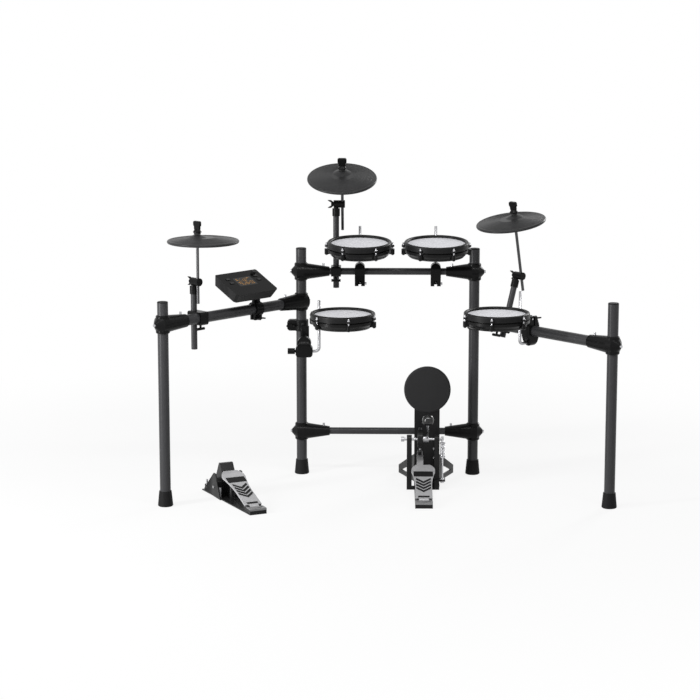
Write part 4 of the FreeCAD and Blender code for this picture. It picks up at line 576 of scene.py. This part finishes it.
block = linked(rows, "GeometryNodeMeshCube", {}, {"Size": rows_in.outputs["Bar"]})
lengths = linked(rows, "FunctionNodeRandomValue", {"data_type": "FLOAT_VECTOR"}, {
    "Min": (0.05, 0.5, 1.0), "Max": (1.0, 1.0, 1.0), "Seed": length_seed})
lit = linked(rows, "FunctionNodeRandomValue", {"data_type": "BOOLEAN"}, {
    "Probability": lit_share, "Seed": lit_seed})
lit_or_not = lit.outputs[3]
bars = linked(rows, "GeometryNodeInstanceOnPoints", {}, {
    "Points": grid.outputs["Mesh"], "Selection": lit_or_not, "Instance": block.outputs["Mesh"],
    "Scale": lengths.outputs["Value"]})
solid_bars = linked(rows, "GeometryNodeRealizeInstances", {}, {"Geometry": bars.outputs["Instances"]})
lit_bars = linked(rows, "GeometryNodeSetMaterial", {}, {
    "Geometry": solid_bars.outputs["Geometry"], "Material": rows_in.outputs["Finish"]})
rows.links.new(lit_bars.outputs["Geometry"], rows_out.inputs["Geometry"])
display = grown(rows, {"Width": 0.062, "Depth": 0.034, "Columns": 8, "Rows": 6,
                       "Bar": (0.0078, 0.0032, 0.0003), "Finish": amber})
display_back = 0.008
display_sink = 0.0002
display.transform(module_frame @ Matrix.Translation((0, display_back, -display_sink)))
lights = piece("module_display_bars", display, None, "module")


# Kick tower and pad. The tower is folded black sheet steel with gussets, bolted to its foot, and
# carries a dense rubber disc on a steel backing plate.
black_sheet = grained(
    "black_sheet_steel", grey(0.008), grey(0.012), rough=0.34, spread=0.12,
    pitch=0.0009, relief=0.00002, constants={"Specular IOR Level": 0.14})
pad_rubber = grained(
    "kick_pad_rubber", grey(0.017), grey(0.021), rough=0.7, spread=0.1,
    pitch=0.0016, relief=0.00008, constants={"Specular IOR Level": 0.12})
dressed("kick_tower", [black_sheet, chrome], "rack")
dressed("kick_pad", [pad_rubber, black_sheet], "rack")


# Kick pedal. Black cast frame, plated axle, cam and rocker, a two-strand chain to the silver cast
# footboard, and a plated return spring on a threaded rod.
silver, silver_shader, silver_place = surface(
    "cast_silver_board", {"Metallic": 0.25, "Specular IOR Level": 0.3})
silver_cloud = noise(silver_place, scale=24.0, detail=5.0)
silver_grain = noise(silver_place, scale=1100.0, detail=2.0)
feed(silver_shader, {
    "Base Color": tinted(silver_cloud, grey(0.34, 1.02), grey(0.45, 1.02)),
    "Roughness": silver_grain * 0.12 + 0.36,
    "Normal": raised(silver_grain, 0.00003)})
heel_grey = grained(
    "cast_grey_heel", grey(0.16, 1.02), grey(0.22, 1.02), rough=0.42, spread=0.12,
    pitch=0.0009, relief=0.00003, constants={"Metallic": 0.2, "Specular IOR Level": 0.25})
dressed("kick_pedal_frame", [black_sheet, chrome, heel_grey, steel], "rack")
lacquer = grained(
    "black_beater_lacquer", grey(0.004), grey(0.007), rough=0.14, spread=0.06,
    pitch=0.002, relief=0.000004, constants={"Specular IOR Level": 0.45})
dressed("kick_beater", [chrome, steel, black_sheet, lacquer], "kick_beater")
paint(silver, "kick_footboard", "hi_hat_footboard")
axle = Vector(joints["kick_beater_swing"]["pos_m"])


def halves(node, keep, name, material):
    """Copy of the faces of a CAD node whose middles pass a test."""
    shape = bmesh.new()
    shape.from_mesh(nodes[node].data)
    bmesh.ops.remove_doubles(shape, verts=shape.verts, dist=merge_reach)
    others = [face for face in shape.faces if not keep(face.calc_center_median())]
    bmesh.ops.delete(shape, geom=others, context="FACES")
    mesh = bpy.data.meshes.new(name)
    shape.to_mesh(mesh)
    made = piece(name, mesh, material)
    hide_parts(node)
    return made


run = halves("kick_chain", lambda place: place.z < axle.z, "kick_chain_run", gunmetal)
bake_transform(run)
wrap = halves("kick_chain", lambda place: place.z >= axle.z, "kick_chain_wrap", gunmetal)
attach(wrap, "rack")
coil = halves("kick_spring", lambda place: True, "kick_return_spring", chrome)
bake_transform(coil)


# Footboard grips and heel lips. Black rubber chevrons and a short bar are pressed into the slots of
# both boards and lap over their edges, with a plain dark band near the toe. A thin cast lip closes
# the front of each heel plate.
board_tilt = math.radians(17.3)
board_top = 0.006


def strip(points, low, high):
    """Closed slab between two heights over a flat outline."""
    shape = bmesh.new()
    under = [shape.verts.new((x, y, low)) for x, y in points]
    over = [shape.verts.new((x, y, high)) for x, y in points]
    shape.faces.new(under[::-1])
    shape.faces.new(over)
    for index in range(len(points)):
        after = (index + 1) % len(points)
        shape.faces.new((under[index], under[after], over[after], over[index]))
    bmesh.ops.recalc_face_normals(shape, faces=shape.faces)
    mesh = bpy.data.meshes.new("strip")
    shape.to_mesh(mesh)
    return mesh


chevrons, chevrons_in, chevrons_out = tree_of("chevron_rows", {
    "Chevron": "NodeSocketObject", "Count": "NodeSocketInt", "Start": "NodeSocketVector",
    "Pitch": "NodeSocketVector", "Finish": "NodeSocketMaterial"})
line = linked(chevrons, "GeometryNodeMeshLine", {"mode": "OFFSET"}, {
    "Count": chevrons_in.outputs["Count"], "Start Location": chevrons_in.outputs["Start"],
    "Offset": chevrons_in.outputs["Pitch"]})
one = linked(chevrons, "GeometryNodeObjectInfo", {}, {"Object": chevrons_in.outputs["Chevron"]})
copies = linked(chevrons, "GeometryNodeInstanceOnPoints", {}, {
    "Points": line.outputs["Mesh"], "Instance": one.outputs["Geometry"]})
solid_copies = linked(chevrons, "GeometryNodeRealizeInstances", {}, {
    "Geometry": copies.outputs["Instances"]})
black_copies = linked(chevrons, "GeometryNodeSetMaterial", {}, {
    "Geometry": solid_copies.outputs["Geometry"], "Material": chevrons_in.outputs["Finish"]})
chevrons.links.new(black_copies.outputs["Geometry"], chevrons_out.inputs["Geometry"])
chevron_count = 4
chevron_half = 0.024
chevron_rise = 0.022
chevron_w = 0.008
chevron_pitch = 0.02
chevron_drop = 0.126
gap = 0.0002
sunk = 0.0008
lap = 0.0022
proud = 0.0008
heel_back = 0.042
lip_half = 0.031
lip_low = -0.004
lip_top = 0.003
lip_thick = 0.0009
lip_cut = 0.0015
band_half = 0.035
band_low = 0.082
band_high = 0.046
bar_half = 0.018
bar_low = 0.014
bar_high = 0.02
z_axis = Vector((0, 0, 1))
boards = (("kick_footboard", "kick_board_press", "kick_pedal_frame", 0.235),
          ("hi_hat_footboard", "hi_hat_board_press", "hi_hat_pedal_base", 0.242))
for board, joint, heel, toe in boards:
    right = Vector(joints[joint]["axis"])
    level = z_axis.cross(right)
    along = level * math.cos(board_tilt) + z_axis * math.sin(board_tilt)
    board_frame = Matrix.Translation(joints[joint]["pos_m"]) @ Matrix(
        (right, along, right.cross(along))).transposed().to_4x4()
    grip = bmesh.new()
    for side, low, high, under, over in (
            (chevron_half - gap, gap, chevron_w - gap, gap, board_top),
            (chevron_half + lap, -lap, chevron_w + lap, board_top, board_top + proud)):
        slope = chevron_rise / chevron_half * side
        vee = [(-side, slope + low), (0, low), (side, slope + low),
               (side, slope + high), (0, high), (-side, slope + high)]
        grip.from_mesh(strip(vee, under, over))
    grip_mesh = bpy.data.meshes.new("chevron_pattern")
    grip.to_mesh(grip_mesh)
    pattern = bpy.data.objects.new("chevron_pattern", grip_mesh)
    scene.collection.objects.link(pattern)
    grips = [grown(chevrons, {
        "Chevron": pattern, "Count": chevron_count, "Start": (0, toe - chevron_drop, 0),
        "Pitch": (0, -chevron_pitch, 0), "Finish": rubber})]
    bpy.data.objects.remove(pattern)
    side = band_half - gap
    low = toe - band_low + gap
    high = toe - band_high - gap
    band = [(-side, low), (side, low), (side, high), (-side, high)]
    grips.append(strip(band, board_top - sunk, board_top + gap))
    for grow, under, over in ((-gap, gap, board_top), (lap, board_top, board_top + proud)):
        side = bar_half + grow
        low = bar_low - grow
        high = bar_high + grow
        grips.append(strip([(-side, low), (side, low), (side, high), (-side, high)], under, over))
    whole = bmesh.new()
    for slab in grips:
        whole.from_mesh(slab)
    for face in whole.faces:
        face.material_index = 0
    mesh = bpy.data.meshes.new("grips")
    whole.to_mesh(mesh)
    mesh.transform(board_frame)
    made = piece(board + "_grips", mesh, rubber, board)
    heel_frame = Matrix.Translation(Vector(joints[joint]["pos_m"]) - level * heel_back) @ Matrix(
        (right, z_axis, right.cross(z_axis))).transposed().to_4x4()
    lip = strip([(-lip_half, lip_top), (-lip_half, lip_low + lip_cut), (-lip_half + lip_cut, lip_low),
                 (lip_half - lip_cut, lip_low), (lip_half, lip_low + lip_cut), (lip_half, lip_top)],
                gap, lip_thick)
    lip.transform(heel_frame)
    plate = piece(board + "_heel_lip", lip, heel_grey, "rack")


# Hi-hat pedal. The same board on a black base, with cheeks and a moulded sensor housing behind
# the toe, a grey cast heel plate, a steel hinge pin and plated studs.
dressed("hi_hat_pedal_base", [black_sheet, heel_grey, steel, steel, chrome], "rack")


# Studio.
white_shown = 0.84
sky_level = 0.2
floor_mesh = bpy.data.meshes.new("studio_floor")
floor_shape = bmesh.new()
floor_half = 60.0
floor_z = -0.0005
fade_near = 0.9
fade_far = 2.6
floor_shape.faces.new([floor_shape.verts.new(corner) for corner in (
    (-floor_half, -floor_half, floor_z), (floor_half, -floor_half, floor_z),
    (floor_half, floor_half, floor_z), (-floor_half, floor_half, floor_z))])
floor_shape.to_mesh(floor_mesh)
floor = bpy.data.objects.new("studio_floor", floor_mesh)
scene.collection.objects.link(floor)
floor_paint, floor_shader, floor_place = surface("pale_floor", {
    "Base Color": (0.78, 0.78, 0.78, 1), "Roughness": 0.9, "Specular IOR Level": 0.1})
away = floor_place.node("VectorMath", {"operation": "LENGTH"}, {0: floor_place}, 1)
fade = away.node("MapRange", {"interpolation_type": "SMOOTHSTEP"}, {
    "Value": away, "From Min": fade_near, "From Max": fade_far})


def seen_rays(tree):
    """Wire that is 1 for rays from the camera, a mirror or clear glass."""
    path = tree.nodes.new("ShaderNodeLightPath").outputs
    return Wire(path["Is Camera Ray"]) + Wire(path["Is Glossy Ray"]) + Wire(path["Is Transmission Ray"])


seen = seen_rays(floor_paint.node_tree)
glow = seen.node("Emission", {}, {"Color": (1, 1, 1, 1), "Strength": 1.0})
both = seen.node("MixShader", {}, {
    0: seen * (fade * (1 - white_shown) + white_shown), 1: Wire(floor_shader.outputs["BSDF"]), 2: glow})
floor_out = floor_paint.node_tree.nodes["Material Output"]
floor_paint.node_tree.links.new(both.socket, floor_out.inputs["Surface"])
floor_mesh.materials.append(floor_paint)

world = bpy.data.worlds.new("studio")
scene.world = world
world.use_nodes = True
sky = world.node_tree.nodes["Background"]
sky_seen = seen_rays(world.node_tree)
sky.inputs["Color"].default_value = (1, 1, 1, 1)
world.node_tree.links.new((sky_seen * (1 - sky_level) + sky_level).socket, sky.inputs["Strength"])


def lamp(name, place, aim, wide, high, power):
    """Soft box of a width and height that faces a point."""
    light = bpy.data.lights.new(name, "AREA")
    light.shape = "RECTANGLE"
    light.size = wide
    light.size_y = high
    light.energy = power
    made = bpy.data.objects.new(name, light)
    made.location = place
    made.rotation_euler = (Vector(aim) - Vector(place)).to_track_quat("-Z", "Y").to_euler()
    scene.collection.objects.link(made)


kit_middle = (0, 0, 0.6)
lamp("top_softbox", (0.0, -2.2, 3.6), kit_middle, wide=5.0, high=0.3, power=105.0)
lamp("left_softbox", (-3.3, -1.9, 1.2), kit_middle, wide=0.4, high=2.3, power=140.0)
lamp("back_softbox", (2.6, 3.2, 2.2), kit_middle, wide=1.0, high=2.0, power=75.0)


# Camera. Its height, distance and angles were fitted to the posts and bars.
sensor_mm = 36.0
image_px = 700.0
focal_px = 2270.0
camera_back = 8.239
kit_centre_y = 0.261622
camera_up = 2.047
look_down = 10.85
look_left = 0.964
camera_data = bpy.data.cameras.new("camera")
camera_data.sensor_width = sensor_mm
camera_data.lens = focal_px / image_px * sensor_mm
camera_data.clip_end = 200.0
camera = bpy.data.objects.new("camera", camera_data)
camera.location = (0.0, -camera_back + kit_centre_y, camera_up)
camera.rotation_euler = (math.radians(90.0 - look_down), 0.0, math.radians(look_left))
scene.collection.objects.link(camera)
scene.camera = camera
scene.view_settings.view_transform = "Standard"
